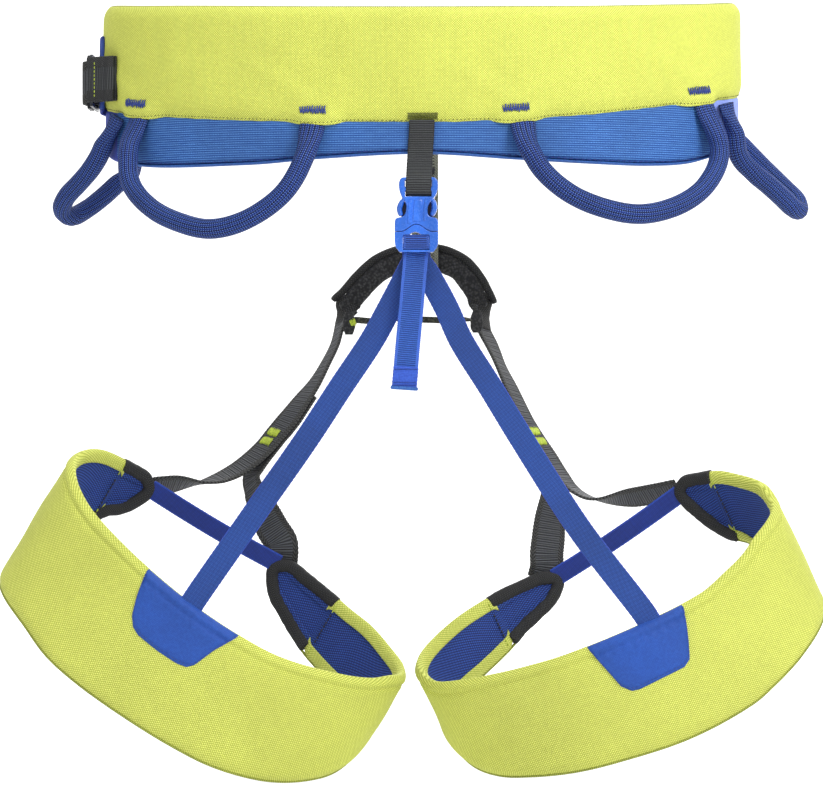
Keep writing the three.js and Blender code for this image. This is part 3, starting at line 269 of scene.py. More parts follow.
class Shader:
    def __init__(self, name):
        self.material = bpy.data.materials.new(name)
        self.material.use_nodes = True
        self.tree = self.material.node_tree
        self.bsdf = self.tree.nodes["Principled BSDF"]

    def node(self, kind, inputs=(), **settings):
        node = self.tree.nodes.new(kind)
        for key, value in settings.items():
            setattr(node, key, value)
        for key, value in dict(inputs).items():
            self.put(node.inputs[key], value)
        return node

    def put(self, socket, value):
        if isinstance(value, bpy.types.NodeSocket):
            self.tree.links.new(value, socket)
        elif isinstance(value, tuple) and socket.type == "RGBA":
            socket.default_value = (*value, 1)
        else:
            socket.default_value = value

    def math(self, operation, a, b=0.0, c=0.0):
        node = self.node("ShaderNodeMath", operation=operation)
        for socket, value in zip(node.inputs, (a, b, c)):
            self.put(socket, value)
        return node.outputs[0]

    def times(self, a, b):
        return self.math("MULTIPLY", a, b)

    def times_add(self, a, b, c):
        return self.math("MULTIPLY_ADD", a, b, c)

    def crossing(self, x, y, pitch):
        """Two waves on the slant, multiplied into a diamond net."""
        return self.times(
            self.wave(self.math("ADD", x, y), pitch),
            self.wave(self.math("SUBTRACT", x, y), pitch),
        )

    def wave(self, value, pitch):
        """A wave from 0 to 1 along a length in metres."""
        angle = self.times(value, 2 * math.pi / (pitch * mm))
        return self.times_add(self.math("SINE", angle), 0.5, 0.5)

    def noise(self, size, detail=3.0, stretch=None):
        vector = self.node("ShaderNodeTexCoord").outputs["Object"]
        if stretch:
            mapping = self.node("ShaderNodeMapping")
            self.put(mapping.inputs["Vector"], vector)
            mapping.inputs["Scale"].default_value = stretch
            vector = mapping.outputs[0]
        inputs = {"Vector": vector, "Scale": 1 / (size * mm), "Detail": detail}
        return self.node("ShaderNodeTexNoise", inputs).outputs[0]

    def ramp(self, value, low, high, to_low=0.0, to_high=1.0):
        node = self.node("ShaderNodeMapRange", {
            "Value": value, "From Min": low, "From Max": high, "To Min": to_low, "To Max": to_high,
        }, interpolation_type="SMOOTHSTEP")
        return node.outputs[0]

    def tones(self, share, dark, light):
        """From a dark to a light colour, both given from 0 to 255."""
        return self.mix(share, linear(dark), linear(light))

    def shades(self, share, colour, shade):
        """From a darker shade of a colour to the colour."""
        return self.mix(share, tuple(c * shade for c in linear(colour)), linear(colour))

    def mix(self, share, a, b, blend="MIX"):
        node = self.node("ShaderNodeMix", data_type="RGBA", blend_type=blend)
        self.put(node.inputs["Factor"], share)
        self.put(node.inputs[6], a)
        self.put(node.inputs[7], b)
        return node.outputs[2]

    def uv(self):
        split = self.node("ShaderNodeSeparateXYZ")
        self.put(split.inputs[0], self.node("ShaderNodeUVMap", uv_map="weave").outputs[0])
        return split.outputs[0], split.outputs[1]

    def finish(self, colour, roughness, height=None, depth=0.2, strength=0.6, sheen=0.0, sheen_tint=(1, 1, 1),
               metallic=0.0, coat=0.0, specular=0.5):
        for key, value in (
            ("Base Color", colour), ("Roughness", roughness), ("Metallic", metallic), ("Sheen Weight", sheen),
            ("Sheen Tint", tuple(sheen_tint)), ("Sheen Roughness", sheen_roughness), ("Coat Weight", coat),
            ("Coat Roughness", coat_roughness), ("Specular IOR Level", specular),
        ):
            self.put(self.bsdf.inputs[key], value)
        if height is not None:
            inputs = {"Height": height, "Strength": strength, "Distance": depth * mm}
            bump = self.node("ShaderNodeBump", inputs)
            self.put(self.bsdf.inputs["Normal"], bump.outputs[0])
        return self.material


def shade_spread(s, colour, size, amount):
    """Broad and fine random darker and lighter patches over a colour."""
    broad = s.ramp(s.noise(size, 3.0), 0.3, 0.7, 1 - amount, 1 + amount * 0.6)
    fine = s.ramp(s.noise(2.2, 2.0), 0.25, 0.75, 0.95, 1.04)
    both = s.times(broad, fine)
    grey = s.node("ShaderNodeCombineColor", {"Red": both, "Green": both, "Blue": both}).outputs[0]
    return s.mix(1.0, colour, grey, "MULTIPLY")


def mesh_cloth(name, dark, light, pitch, lean=1.0, sheen=0.08, depth=0.22, wrinkle=0.0, uneven=0.1):
    """A fine diamond net: two waves crossing on the slant."""
    s = Shader(name)
    x, y = s.uv()
    net = s.crossing(x, s.times(y, lean), pitch)
    colour = shade_spread(s, s.tones(s.ramp(net, 0.02, 0.5), dark, light), 60, uneven)
    height = s.times_add(s.noise(16, 4.0), wrinkle, net) if wrinkle else net
    return s.finish(colour, 0.8, height, depth, 0.55, sheen, linear(light))


def knit_cloth(name, dark, light, row, column, sheen):
    """Rows of fine stitches along the length."""
    s = Shader(name)
    y, x = s.uv()
    offset = s.times(s.math("FLOOR", s.math("DIVIDE", y, row * mm)), math.pi)
    swap = s.times_add(s.math("SINE", s.times_add(x, 2 * math.pi / (column * mm), offset)), 0.5, 0.5)
    columns = s.times_add(s.times(s.wave(x, column), swap), 0.5, 0.55)
    knit = s.times(s.wave(y, row), columns)
    slubs = s.ramp(s.noise(6, 2.0, (1, 1, 6)), 0.35, 0.65, -0.07, 0.07)
    share = s.math("ADD", s.ramp(knit, 0.05, 0.8), slubs)
    colour = shade_spread(s, s.tones(share, dark, light), 60, 0.12)
    return s.finish(colour, 0.78, knit, 0.22, 0.6, sheen, linear(light))


def band_cloth(name, dark, light, half_width, rib, edge_colour=None, edge_share=0.84, edge_pitch=1.6,
               cross=0.0, depth=0.3, roughness=0.7, edge_dark=0.45):
    """Webbing: ribs across it, a fine thread along it, and a herringbone border down each side."""
    s = Shader(name)
    x, y = s.uv()
    weave = s.times(s.wave(y, rib), s.times_add(s.wave(x, 0.9), 0.35, 0.65))
    if cross:
        weave = s.times_add(s.crossing(x, y, cross), 0.75, s.times(weave, 0.25))
    colour = s.tones(s.ramp(weave, 0.05, 0.75), dark, light)
    height = weave
    if edge_colour:
        aside = s.math("ABSOLUTE", x)
        border = s.math("GREATER_THAN", aside, edge_share * half_width * mm)
        middle = half_width * (1 + edge_share) / 2 * mm
        fold = s.math("ABSOLUTE", s.math("SUBTRACT", aside, middle))
        slant = s.wave(s.times_add(fold, 1.3, y), edge_pitch)
        pattern = s.times(slant, s.ramp(fold, 0.0, 0.25 * mm, 0.35, 1.0))
        colour = s.mix(border, colour, s.shades(s.ramp(pattern, 0.1, 0.8), edge_colour, edge_dark))
        inner = s.times(weave, s.math("SUBTRACT", 1.0, border))
        height = s.math("ADD", inner, s.times(pattern, border))
    return s.finish(shade_spread(s, colour, 40, 0.12), roughness, height, depth, 0.65, 0.1, linear(light))


def braid_cloth(name, dark, light, spark):
    """A braided sleeve: lengthwise ribs of short slanted stitches, with paler threads between them."""
    s = Shader(name)
    x, y = s.uv()
    ribs = 15
    inside = s.math("ABSOLUTE", s.math("SUBTRACT", s.math("FRACT", s.times(x, ribs)), 0.5))
    arrow = s.wave(s.times_add(inside, 2.2 * mm, y), 1.35)
    ridge = s.ramp(inside, 0.0, 0.5, 1.0, 0.0)
    height = s.math("ADD", s.times(ridge, 0.7), s.times(arrow, 0.4))
    colour = s.tones(s.ramp(height, 0.1, 0.95), dark, light)
    beside = s.math("ABSOLUTE", s.math("SUBTRACT", inside, 0.25))
    dot = s.times(s.ramp(beside, 0.06, 0.16, 1.0, 0.0), s.ramp(arrow, 0.55, 0.8))
    colour = s.mix(s.times(dot, 0.75), colour, linear(spark))
    return s.finish(shade_spread(s, colour, 35, 0.1), 0.66, height, 0.4, 0.8, specular=0.25)


def smooth_cloth(name, dark, light, sheen=0.15):
    """A close plain weave that looks almost smooth."""
    s = Shader(name)
    x, y = s.uv()
    weave = s.math("ADD", s.times(s.wave(x, 0.9), 0.5), s.times(s.wave(y, 0.9), 0.5))
    speck = s.ramp(s.noise(1.2, 2.0), 0.3, 0.7)
    share = s.times_add(speck, 0.4, s.times(weave, 0.6))
    colour = shade_spread(s, s.tones(share, dark, light), 30, 0.1)
    return s.finish(colour, 0.7, share, 0.1, 0.4, sheen, linear(light))


def tuft_cloth(name, dark, light):
    """A coarse black pad cloth: irregular loops."""
    s = Shader(name)
    cells = s.node("ShaderNodeTexVoronoi", {"Scale": 1 / (1.5 * mm)})
    s.put(cells.inputs["Vector"], s.node("ShaderNodeTexCoord").outputs["Object"])
    height = s.math("SUBTRACT", 1.0, cells.outputs[0])
    share = s.times(s.ramp(height, 0.25, 0.9), s.ramp(s.noise(3, 3.0), 0.3, 0.7, 0.4, 1.0))
    colour = shade_spread(s, s.tones(share, dark, light), 25, 0.2)
    return s.finish(colour, 0.85, height, 0.35, 0.8, 0.2)


def plastic(name, colour, spread, roughness):
    """Moulded plastic: an even colour under broad darker patches, partly faint flow marks and partly painted
    shade over the flat faces, and fine scuffs in the gloss.
    """
    s = Shader(name)
    # Broad darker patches: partly flow marks, partly painted shade over the flat faces.
    base = s.shades(s.ramp(s.noise(9, 3.0, (1, 1, 0.35)), 0.3, 0.7), colour, 1 - spread * 2)
    scuff = s.ramp(s.noise(1.6, 5.0), 0.45, 0.75, roughness, roughness + 0.16)
    return s.finish(base, scuff, s.noise(0.7, 2.0), 0.03, 0.3, coat=0.5)


def metal(name, colour, roughness):
    """Anodised sheet metal with brushed streaks."""
    s = Shader(name)
    streaks = s.noise(3, 4.0, (1, 0.08, 1))
    base = s.shades(s.ramp(streaks, 0.3, 0.7), colour, 0.7)
    rough = s.ramp(streaks, 0.2, 0.8, roughness - 0.06, roughness + 0.14)
    return s.finish(base, rough, streaks, 0.03, 0.3, metallic=0.9)


def thread(name, colour):
    s = Shader(name)
    twist = s.noise(0.9, 2.0)
    base = s.shades(s.ramp(twist, 0.3, 0.7), colour, 0.6)
    return s.finish(base, 0.55, twist, 0.08, 0.5, 0.2, linear(colour))


yellow = mesh_cloth("yellow_net", (176, 185, 60), (235, 238, 124), 1.35, wrinkle=0.5, uneven=0.05)
# The legs' yellow is the belt's yellow made darker: painted shade.
leg_yellow_painted_shade = mesh_cloth(
    "yellow_net_legs_painted_shade", (165, 174, 60), (228, 232, 122), 1.35, 0.8, wrinkle=0.6, uneven=0.05)
band_blue = knit_cloth("blue_knit", (20, 66, 140), (78, 134, 202), 1.25, 1.5, sheen=0.06)
edge_grey = band_cloth("edge_binding", (120, 126, 70), (190, 196, 118), 8, 1.1, roughness=0.8)
hem_dark = band_cloth("hem_cord", (112, 120, 44), (170, 178, 76), 4, 1.1, roughness=0.8)
# Used for the belt band's hem, and for a dark roll under the tail's fold that is painted shadow.
hem_and_fold_shadow_blue = smooth_cloth("hem_and_fold_shadow_cloth", (22, 66, 142), (58, 112, 188))
lining_blue = mesh_cloth("blue_net", (12, 28, 92), (44, 76, 168), 1.5, sheen=0.1)
leg_lining_blue = mesh_cloth("deep_blue_net", (8, 26, 80), (42, 82, 172), 1.5, 0.6, 0.08, 0.35)
violet = smooth_cloth("violet_cloth", (36, 50, 144), (64, 84, 184))
periwinkle = smooth_cloth("periwinkle_cloth", (122, 140, 218), (148, 168, 240))
patch_blue = smooth_cloth("patch_cloth", (16, 62, 148), (30, 82, 172), sheen=0.06)
braid = braid_cloth("gear_braid", (3, 8, 46), (14, 38, 116), (104, 144, 220))
black_web = band_cloth(
    "black_web", (12, 13, 14), (62, 65, 68), 7, 1.25, (44, 45, 46), 0.93, roughness=0.75, depth=0.45)
grey_web = band_cloth(
    "grey_web", (30, 31, 33), (78, 80, 84), 10, 1.35, (66, 66, 64), 0.66, 2.0, depth=0.3, edge_dark=0.08)
front_web = band_cloth("front_web", (30, 54, 140), (66, 100, 200), 22, 1.5, (50, 70, 170), 0.92)
speckled_web = band_cloth(
    "speckled_web", (52, 54, 42), (136, 138, 122), 8, 1.9, (128, 130, 112), 0.7, cross=1.8)
strap_elastic = band_cloth(
    "strap_elastic", (5, 33, 105), (42, 100, 190), 6.8, 0.8, (40, 74, 186), 0.93, 1.0,
    cross=1.0, edge_dark=0.7)
tail_elastic = band_cloth(
    "tail_elastic", (14, 48, 128), (48, 98, 186), 6.8, 1.15, (62, 108, 216), 0.76, 1.0,
    depth=0.4, edge_dark=0.75)
tail_smooth = smooth_cloth("tail_fold", (30, 64, 164), (52, 94, 200))
window_elastic = band_cloth(
    "window_elastic", (10, 32, 104), (44, 90, 184), 6.8, 1.15, (52, 98, 204), 0.86, 1.0, depth=0.4)
leg_elastic = band_cloth(
    "leg_elastic", (10, 32, 108), (22, 62, 166), 5.5, 0.9, (34, 74, 186), 0.84, 1.0, cross=1.0, edge_dark=0.7)
binding_cloth = band_cloth("binding_tape", (14, 14, 15), (58, 58, 58), 12, 1.3, cross=1.25, roughness=0.8)
pad_black = tuft_cloth("pad_cloth", (13, 13, 14), (66, 66, 65))
rim_black = band_cloth(
    "rim_cloth", (15, 15, 15), (60, 60, 58), 30, 1.5, cross=1.7, roughness=0.85, depth=0.35)
dark_cord = tuft_cloth("olive_cord", (26, 27, 20), (82, 84, 66))
buckle_blue = plastic("buckle_plastic", (46, 112, 224), 0.16, 0.24)
# A very dark blue for the clip's back web and the parting line: painted shade in the recess behind the ridges
# and in the gap between the buckle's halves.
painted_shade_blue = plastic("painted_shade_plastic", (8, 22, 84), 0.1, 0.5)
black_metal = metal("black_metal", (42, 43, 45), 0.36)
base_metal = metal("base_metal", (58, 60, 64), 0.3)
blue_thread = thread("blue_thread", (46, 68, 150))
lime_thread = thread("lime_thread", (196, 216, 62))
olive_thread = thread("olive_thread", (108, 114, 46))
dark_thread = thread("dark_thread", (34, 36, 40))


# Meshes. Places come in millimetres and leave in metres.
def link(name, verts, faces, uvs, material):
    data = bpy.data.meshes.new(name)
    data.from_pydata([tuple(v) for v in np.asarray(verts) * mm], [], faces)
    if uvs is not None:
        layer = data.uv_layers.new(name="weave")
        layer.data.foreach_set("uv", np.asarray(uvs, float).ravel())
    data.materials.append(material)
    data.polygons.foreach_set("use_smooth", [True] * len(data.polygons))
    data.update()
    piece = bpy.data.objects.new(name, data)
    bpy.context.scene.collection.objects.link(piece)
    return piece


def grid(name, rings, across, along, material):
    """A closed skin through rings of places. across has one more value than a ring has places."""
    rings = np.asarray(rings, float)
    n, m = rings.shape[:2]
    verts = rings.reshape(-1, 3).tolist()
    across = np.asarray(across, float)
    if across.ndim == 1:
        across = np.tile(across, (n, 1))
    faces, uvs = [], []
    for i in range(n - 1):
        for j in range(m):
            k = (j + 1) % m
            faces.append((i * m + j, i * m + k, (i + 1) * m + k, (i + 1) * m + j))
            uvs += [
                (across[i, j], along[i]), (across[i, j + 1], along[i]),
                (across[i + 1, j + 1], along[i + 1]), (across[i + 1, j], along[i + 1]),
            ]
    for i in (0, n - 1):
        verts.append(rings[i].mean(axis=0).tolist())
        for j in range(m):
            k = (j + 1) % m
            pair = (i * m + k, i * m + j) if i == 0 else (i * m + j, i * m + k)
            faces.append((len(verts) - 1, *pair))
            uvs += [(0, along[i]), (across[i, j], along[i]), (across[i, j], along[i])]
    uvs = np.asarray(uvs) * mm
    piece = link(name, verts, faces, uvs, material)
    piece.data.validate()
    face_out(piece)
    return piece


def face_out(piece):
    total = sum(face.center.dot(face.normal) * face.area for face in piece.data.polygons)
    if total < 0:
        piece.data.flip_normals()


def place(piece, body, slot, *nodes):
    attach(piece, body)
    if nodes:
        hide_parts(*nodes)
    return piece


def rounded_ends(rings, tips, reach):
    """Adds shrinking rings to both ends, so that a sewn or cut end looks soft."""
    first, last = np.asarray(rings[0]), np.asarray(rings[-1])
    head, foot = [], []
    for share, shrink in ((1.0, 0.55), (0.7, 0.85), (0.3, 0.97)):
        head.append(first.mean(axis=0) + (first - first.mean(axis=0)) * shrink - tips[0] * reach * share)
        foot.append(last.mean(axis=0) + (last - last.mean(axis=0)) * shrink + tips[1] * reach * share)
    return np.array(head + list(rings) + foot[::-1])


def rounded_marks(marks):
    """The distances that go with rings from rounded_ends."""
    return [marks[0]] * 3 + list(marks) + [marks[-1]] * 3


tape_section = [
    (1, 0), (0.99, 0.6), (0.965, 0.9), (0.92, 1), (0.7, 1), (0.35, 1), (0, 1), (-0.35, 1), (-0.7, 1),
    (-0.92, 1), (-0.965, 0.9), (-0.99, 0.6), (-1, 0), (-0.99, -0.6), (-0.965, -0.9), (-0.92, -1),
    (-0.7, -1), (-0.35, -1),
    (0, -1), (0.35, -1), (0.7, -1), (0.92, -1), (0.965, -0.9), (0.99, -0.6),
]


def tape_rings(places, across, out, marks, width, thick, rib, rib_depth, border=0.8):
    """Closed rings of a tape, with real ribs across it where a rib pitch is given."""
    rings = []
    for i, spot in enumerate(places):
        wave = math.sin(2 * math.pi * marks[i] / rib) * rib_depth if rib else 0
        fray = 0.012 * math.sin(2 * math.pi * marks[i] / (rib or 2))
        ring = []
        for a, b in tape_section:
            lift = wave * b if abs(a) < border else 0
            side = 1 + (fray if abs(a) > border else 0)
            ring.append(spot + across[i] * a * side * width / 2 + out[i] * (b * thick / 2 + lift))
        rings.append(ring)
    return rings


def tape_columns(width):
    return [a * width / 2 for a, _ in tape_section] + [width / 2]


def tape(name, rows, width, thick, material, step=1.2, rib=0.0, rib_depth=0.0):
    places, tangents, marks, turns = follow(rows, step)
    across, out = frames(tangents, turns)
    rings = tape_rings(places, across, out, marks, width, thick, rib, rib_depth)
    rings = rounded_ends(rings, (tangents[0], tangents[-1]), thick * 0.35)
    return grid(name, rings, tape_columns(width), rounded_marks(marks), material)


# Stitches: small threads laid on a surface, many to a piece. A thread's rows: share along, size and lift.
thread_rows = [(0.0, 0.35, -0.2), (0.18, 0.9, 0.55), (0.5, 1.0, 0.8), (0.82, 0.9, 0.55), (1.0, 0.35, -0.2)]
thread_sides = 6
tack_radius = 0.36


def thread_parts(a, b, out, radius):
    along = b - a
    length = np.linalg.norm(along)
    along = along / length
    side = unit(np.cross(along, out))
    rise = np.cross(side, along)
    verts, faces = [], []
    for share, size, lift in thread_rows:
        middle = a + along * length * share + out * radius * lift
        for k in range(thread_sides):
            turn = 2 * math.pi * k / thread_sides
            verts.append(middle + (side * math.cos(turn) + rise * math.sin(turn)) * radius * size)
    for i in range(len(thread_rows) - 1):
        for k in range(thread_sides):
            j = (k + 1) % thread_sides
            near, far = i * thread_sides, (i + 1) * thread_sides
            faces.append((near + k, near + j, far + j, far + k))
    faces.append(tuple(range(thread_sides))[::-1])
    faces.append(tuple((len(thread_rows) - 1) * thread_sides + k for k in range(thread_sides)))
    return verts, faces


def stitches(name, segments, radius, material):
    """One mesh from many stitches, each given as its two ends and the direction out of the cloth."""
    verts, faces = [], []
    for a, b, out in segments:
        ends = (np.asarray(a, float), np.asarray(b, float))
        more, sides = thread_parts(*ends, np.asarray(out, float), radius)
        faces += [tuple(len(verts) + k for k in face) for face in sides]
        verts += more
    return link(name, verts, faces, None, material)


def stitch_line(places, outs, length, space):
    """Stitch ends spread along a line of places on a surface."""
    places = np.asarray(places)
    outs = np.asarray(outs)
    run = run_along(places)
    segments = []
    at = space
    while at + length < run[-1]:
        out = unit(read_line(outs, run, at))
        segments.append((read_line(places, run, at), read_line(places, run, at + length), out))
        at += length + space
    return segments


def tack(centre, across, rise, out, width, height, seed, pitch=0.62):
    """A bar tack: close zigzag strokes across a short bar."""
    rng = random.Random(seed)
    segments = []
    count = max(int(width / pitch), 3)
    for i in range(count):
        x = (i / (count - 1) - 0.5) * width
        wobble = rng.uniform(-0.12, 0.12) * height
        slant = pitch * 0.8
        low = centre + across * (x - slant / 2) - rise * (height / 2 + wobble)
        high = centre + across * (x + slant / 2) + rise * (height / 2 - wobble)
        segments.append((low, high, out))
    for row in (-0.28, 0.0, 0.28):
        middle = centre + rise * row * height - out * 0.2
        segments.append((middle - across * width * 0.48, middle + across * width * 0.48, out))
    return segments


def wander(point, size, seed=0.0):
    """Smooth noise from -1 to 1 at a place, for a size in millimetres."""
    return noise.noise(Vector((point[0] / size + seed, point[1] / size - seed, point[2] / size + seed * 0.5)))


def bell(value, width):
    return math.exp(-(value / width) ** 2)


# The waist ring: a place from an angle, a distance out of the lining's inner face and a height.
def belt_out(angle):
    t = math.radians(angle)
    return unit(np.array((math.cos(t) / belt_half_width, math.sin(t) / belt_half_depth, 0)))


def belt_point(angle, out, height):
    t = math.radians(angle)
    spot = np.array((belt_half_width * math.cos(t), belt_half_depth * math.sin(t), height))
    return spot + belt_out(angle) * out


belt_edge = reader(belt_edge_shares)


def belt_heights(angle):
    return belt_edge(angle) * belt_height


def belt_run(angles):
    return run_along(np.array([belt_point(a, lining_thick, 0) for a in angles]))


gear_feet = (-151.9, -109.3, -72.9, -30.5)
foot_half = 12.5
# Both ends and the count of sections of what goes round the ring.
shell_span = (-204.8, 20.3, 340)
lining_span = (-206, 26, 300)
band_span = (-163, -25, 260)
left_panel_span = (-204.5, -163.1, 60)
right_panel_span = (-24.9, 20, 60)
edge_span = (-206, 24, 300)
seam_span = (-203, 18, 420)


def arc_gap(angle, other):
    """Distance round the ring between two angles, with its sign."""
    middle = math.radians((angle + other) / 2)
    speed = math.hypot(belt_half_width * math.sin(middle), belt_half_depth * math.cos(middle))
    return math.radians(angle - other) * speed


def pillow(distance, run, edge, full):
    """How far a stuffed face stands out at a distance from its edge."""
    share = clamp(distance / run)
    return edge + (full - edge) * (1 - (1 - share) ** 2.6)


def shell_face(angle, height, top, seam):
    """How far the stuffed shell stands out, with its wander and the creases at the gear loops' feet."""
    above = height - seam
    if top - height < above:
        out = pillow(top - height, 9, 0.9, shell_thick)
    else:
        out = pillow(above, 11, 1.9, shell_thick)
    spot = belt_point(angle, 0, height)
    fade = min(1, (top - height) / 8)
    out += 1.0 * wander(spot, 46, 3.1) * fade
    out += 0.4 * wander(spot * np.array((1, 1, 0.35)), 13, 7.7) * fade
    for foot in gear_feet:
        aside = arc_gap(angle, foot)
        if abs(aside) > 60:
            continue
        out += 4.3 * math.exp(-(aside / foot_half) ** 4) * math.exp(-(max(above, 0) / 7.5) ** 2)
        out -= 1.1 * bell(aside, 8.5) * bell(above - 7, 3)
        slope = above - 10 - abs(aside) * 0.6
        out += 0.8 * bell(slope, 4.5) * bell(aside, 32)
        out -= 0.5 * bell(slope - 9, 4) * bell(aside, 30)
    aside = arc_gap(angle, -90)
    out -= 0.8 * bell(aside, 14) * bell(above, 9)
    return out + 0.22 * math.sin(aside / 2.1 + 2 * wander(spot, 20, 1.3)) * bell(above, 5)


def hem_drop(angle):
    """How far the seam's edge dips to cover a gear loop's sewn end."""
    return sum(1.8 * math.exp(-(arc_gap(angle, foot) / foot_half) ** 4) for foot in gear_feet)


def belt_shell():
    angles = np.linspace(*shell_span)
    rows = 34
    rings, xs = [], []
    run = belt_run(angles)
    for angle in angles:
        top, seam, _ = belt_heights(angle)
        low = seam - hem_drop(angle)
        ring, x = [], []
        for i in range(rows + 1):
            share = 0.5 - 0.5 * math.cos(math.pi * i / rows)
            height = low + (top - low) * share
            out = shell_face(angle, max(height, seam), top, seam)
            end = min((angle - angles[0]), (angles[-1] - angle)) / 3
            out = out if end > 1 else out * (1 - (1 - end) ** 2) + 0.2
            lip = 0.35 * out if i in (0, rows) else out
            ring.append(belt_point(angle, lining_thick + lip, height))
            x.append(height)
        for height in (top - 0.5, top - 4.5, (top + low) / 2, low + 0.4):
            ring.append(belt_point(angle, lining_thick - 0.25 + (1.0 if height == top - 0.5 else 0), height))
            x.append(height)
        rings.append(ring)
        xs.append(x + [x[0]])
    piece = grid("belt_shell_cloth", rings, np.array(xs), run, yellow)
    place(piece, "harness", "yellow_shell", "belt_shell")


def section_pad(
    name, span, heights, full, material, slot, nodes, run_edge, puff, edge, inward=False
):
    """A closed pad round the ring, between two heights at each angle. span: both ends, count of sections."""
    angles = np.linspace(*span)
    run = belt_run(angles)
    rows = 16
    rings, xs = [], []
    for angle in angles:
        low, high = heights(angle)
        ring, x = [], []
        for i in range(rows + 1):
            height = low + (high - low) * (0.5 - 0.5 * math.cos(math.pi * i / rows))
            spot = belt_point(angle, 0, height)
            stand = pillow(min(height - low, high - height), run_edge, edge, full)
            stand += puff * wander(spot, 24, 5.5)
            ring.append(belt_point(angle, lining_thick - stand if inward else lining_thick + stand, height))
            x.append(height)
        for height in (high - 0.3, (high + low) / 2, low + 0.3):
            ring.append(belt_point(angle, lining_thick, height))
        x += [high, (high + low) / 2, low]
        rings.append(ring)
        xs.append(x + [x[0]])
    piece = grid(name, rings, np.array(xs), run, material)
    return place(piece, "harness", slot, *nodes)


def under_seam(angle):
    _, seam, bottom = belt_heights(angle)
    return bottom, seam + 1.2


def above_hem(angle):
    low, high = under_seam(angle)
    return low + 1.7, high


def hem_heights(angle):
    low, _ = under_seam(angle)
    return low - 0.2, low + 1.6


def lining_heights(angle):
    top, _, bottom = belt_heights(angle)
    return bottom + 0.6, top - 0.8


belt_shell()
lining = section_pad(
    "belt_lining_cloth", lining_span, lining_heights, lining_thick, lining_blue, "blue_mesh",
    ["belt_lining"], 7, 0.3, 0.6, inward=True)
for facts in (
    ("belt_band_cloth", band_span, above_hem, band_thick, band_blue, "blue_mesh", ["belt_lower_band"],
     2.0, 0.3, 1.2),
    ("belt_band_hem", band_span, hem_heights, band_thick - 0.2, hem_and_fold_shadow_blue, "blue_mesh", [],
     0.9, 0.12, 0.6),
    ("belt_panel_left_cloth", left_panel_span, under_seam, band_thick - 0.1, violet, "violet_panel",
     ["belt_panel_left"], 3.4, 0.3, 0.8),
    ("belt_panel_right_cloth", right_panel_span, under_seam, band_thick - 0.1, periwinkle, "periwinkle_panel",
     ["belt_panel_right"], 3.4, 0.3, 0.8),
):
    section_pad(*facts)


def belt_stitching():
    """Stitches along the seam and the hem, the tacks at the gear loops and the one in the middle."""
    seam_line, low_line, seam_out = [], [], []
    for angle in np.linspace(*seam_span):
        top, seam, bottom = belt_heights(angle)
        edge = seam - hem_drop(angle)
        out = shell_face(angle, edge + 1.4, top, seam)
        seam_line.append(belt_point(angle, lining_thick + out + 0.05, edge + 1.5))
        low_line.append(belt_point(angle, lining_thick + band_thick * 0.88, bottom + 2.1))
        seam_out.append(belt_out(angle))
    segments = stitch_line(seam_line, seam_out, 0.9, 1.3)
    place(stitches("seam_stitches", segments, 0.28, olive_thread), "harness", "yellow_shell")
    segments = stitch_line(low_line, seam_out, 2.4, 1.1)
    place(stitches("hem_stitches", segments, 0.22, blue_thread), "harness", "blue_mesh")
    segments = []
    rng = random.Random(5)

    def on_shell(angle, height):
        top, seam, _ = belt_heights(angle)
        return belt_point(angle, lining_thick + shell_face(angle, height, top, seam) + 0.3, height)

    for angle in gear_feet:
        speed = abs(arc_gap(angle + 0.5, angle - 0.5))
        for i in range(21):
            at = angle + ((i / 20 - 0.5) * 13.6 - 1.2) / speed
            height = belt_heights(at)[1] + 6.8 + rng.uniform(-0.35, 0.35)
            reach = 2.1 + rng.uniform(-0.35, 0.35)
            swing = (0.75 if i % 2 else -0.5) / speed
            ends = (on_shell(at - swing / 2, height - reach), on_shell(at + swing, height + reach))
            segments.append((*ends, belt_out(at)))
    place(stitches("gear_tacks", segments, tack_radius, blue_thread), "harness", "blue_webbing")
    speed = abs(arc_gap(-89.5, -90.5))
    seam = belt_heights(-90)[1]
    segments = []
    for i in range(20):
        at = -90 + (-8 + 15.6 * i / 19) / speed
        ends = (on_shell(at, seam + 2.6), on_shell(at + 0.5 / speed, seam + 5.0))
        segments.append((*ends, belt_out(at)))
    for height in (2.3, 5.3):
        for i in range(8):
            at = -90 + (-8.4 + 2.1 * i) / speed
            ends = (on_shell(at, seam + height), on_shell(at + 2.1 / speed, seam + height))
            segments.append((*ends, belt_out(at)))
    place(stitches("centre_tack", segments, 0.3, olive_thread), "harness", "yellow_shell")


belt_stitching()


def belt_top_edge():
    """The pale binding that closes the belt's top edge."""
    rings = []
    angles = np.linspace(*edge_span)
    for angle in angles:
        spot = belt_point(angle, lining_thick * 0.62, belt_heights(angle)[0] - 0.2)
        out = belt_out(angle)
        rings.append(oval(spot, out, up, 2.6, 0.9, 14))
    piece = grid("belt_top_binding", rings, np.linspace(0, 12, 15), belt_run(angles), edge_grey)
    place(piece, "harness", "yellow_shell")


belt_top_edge()


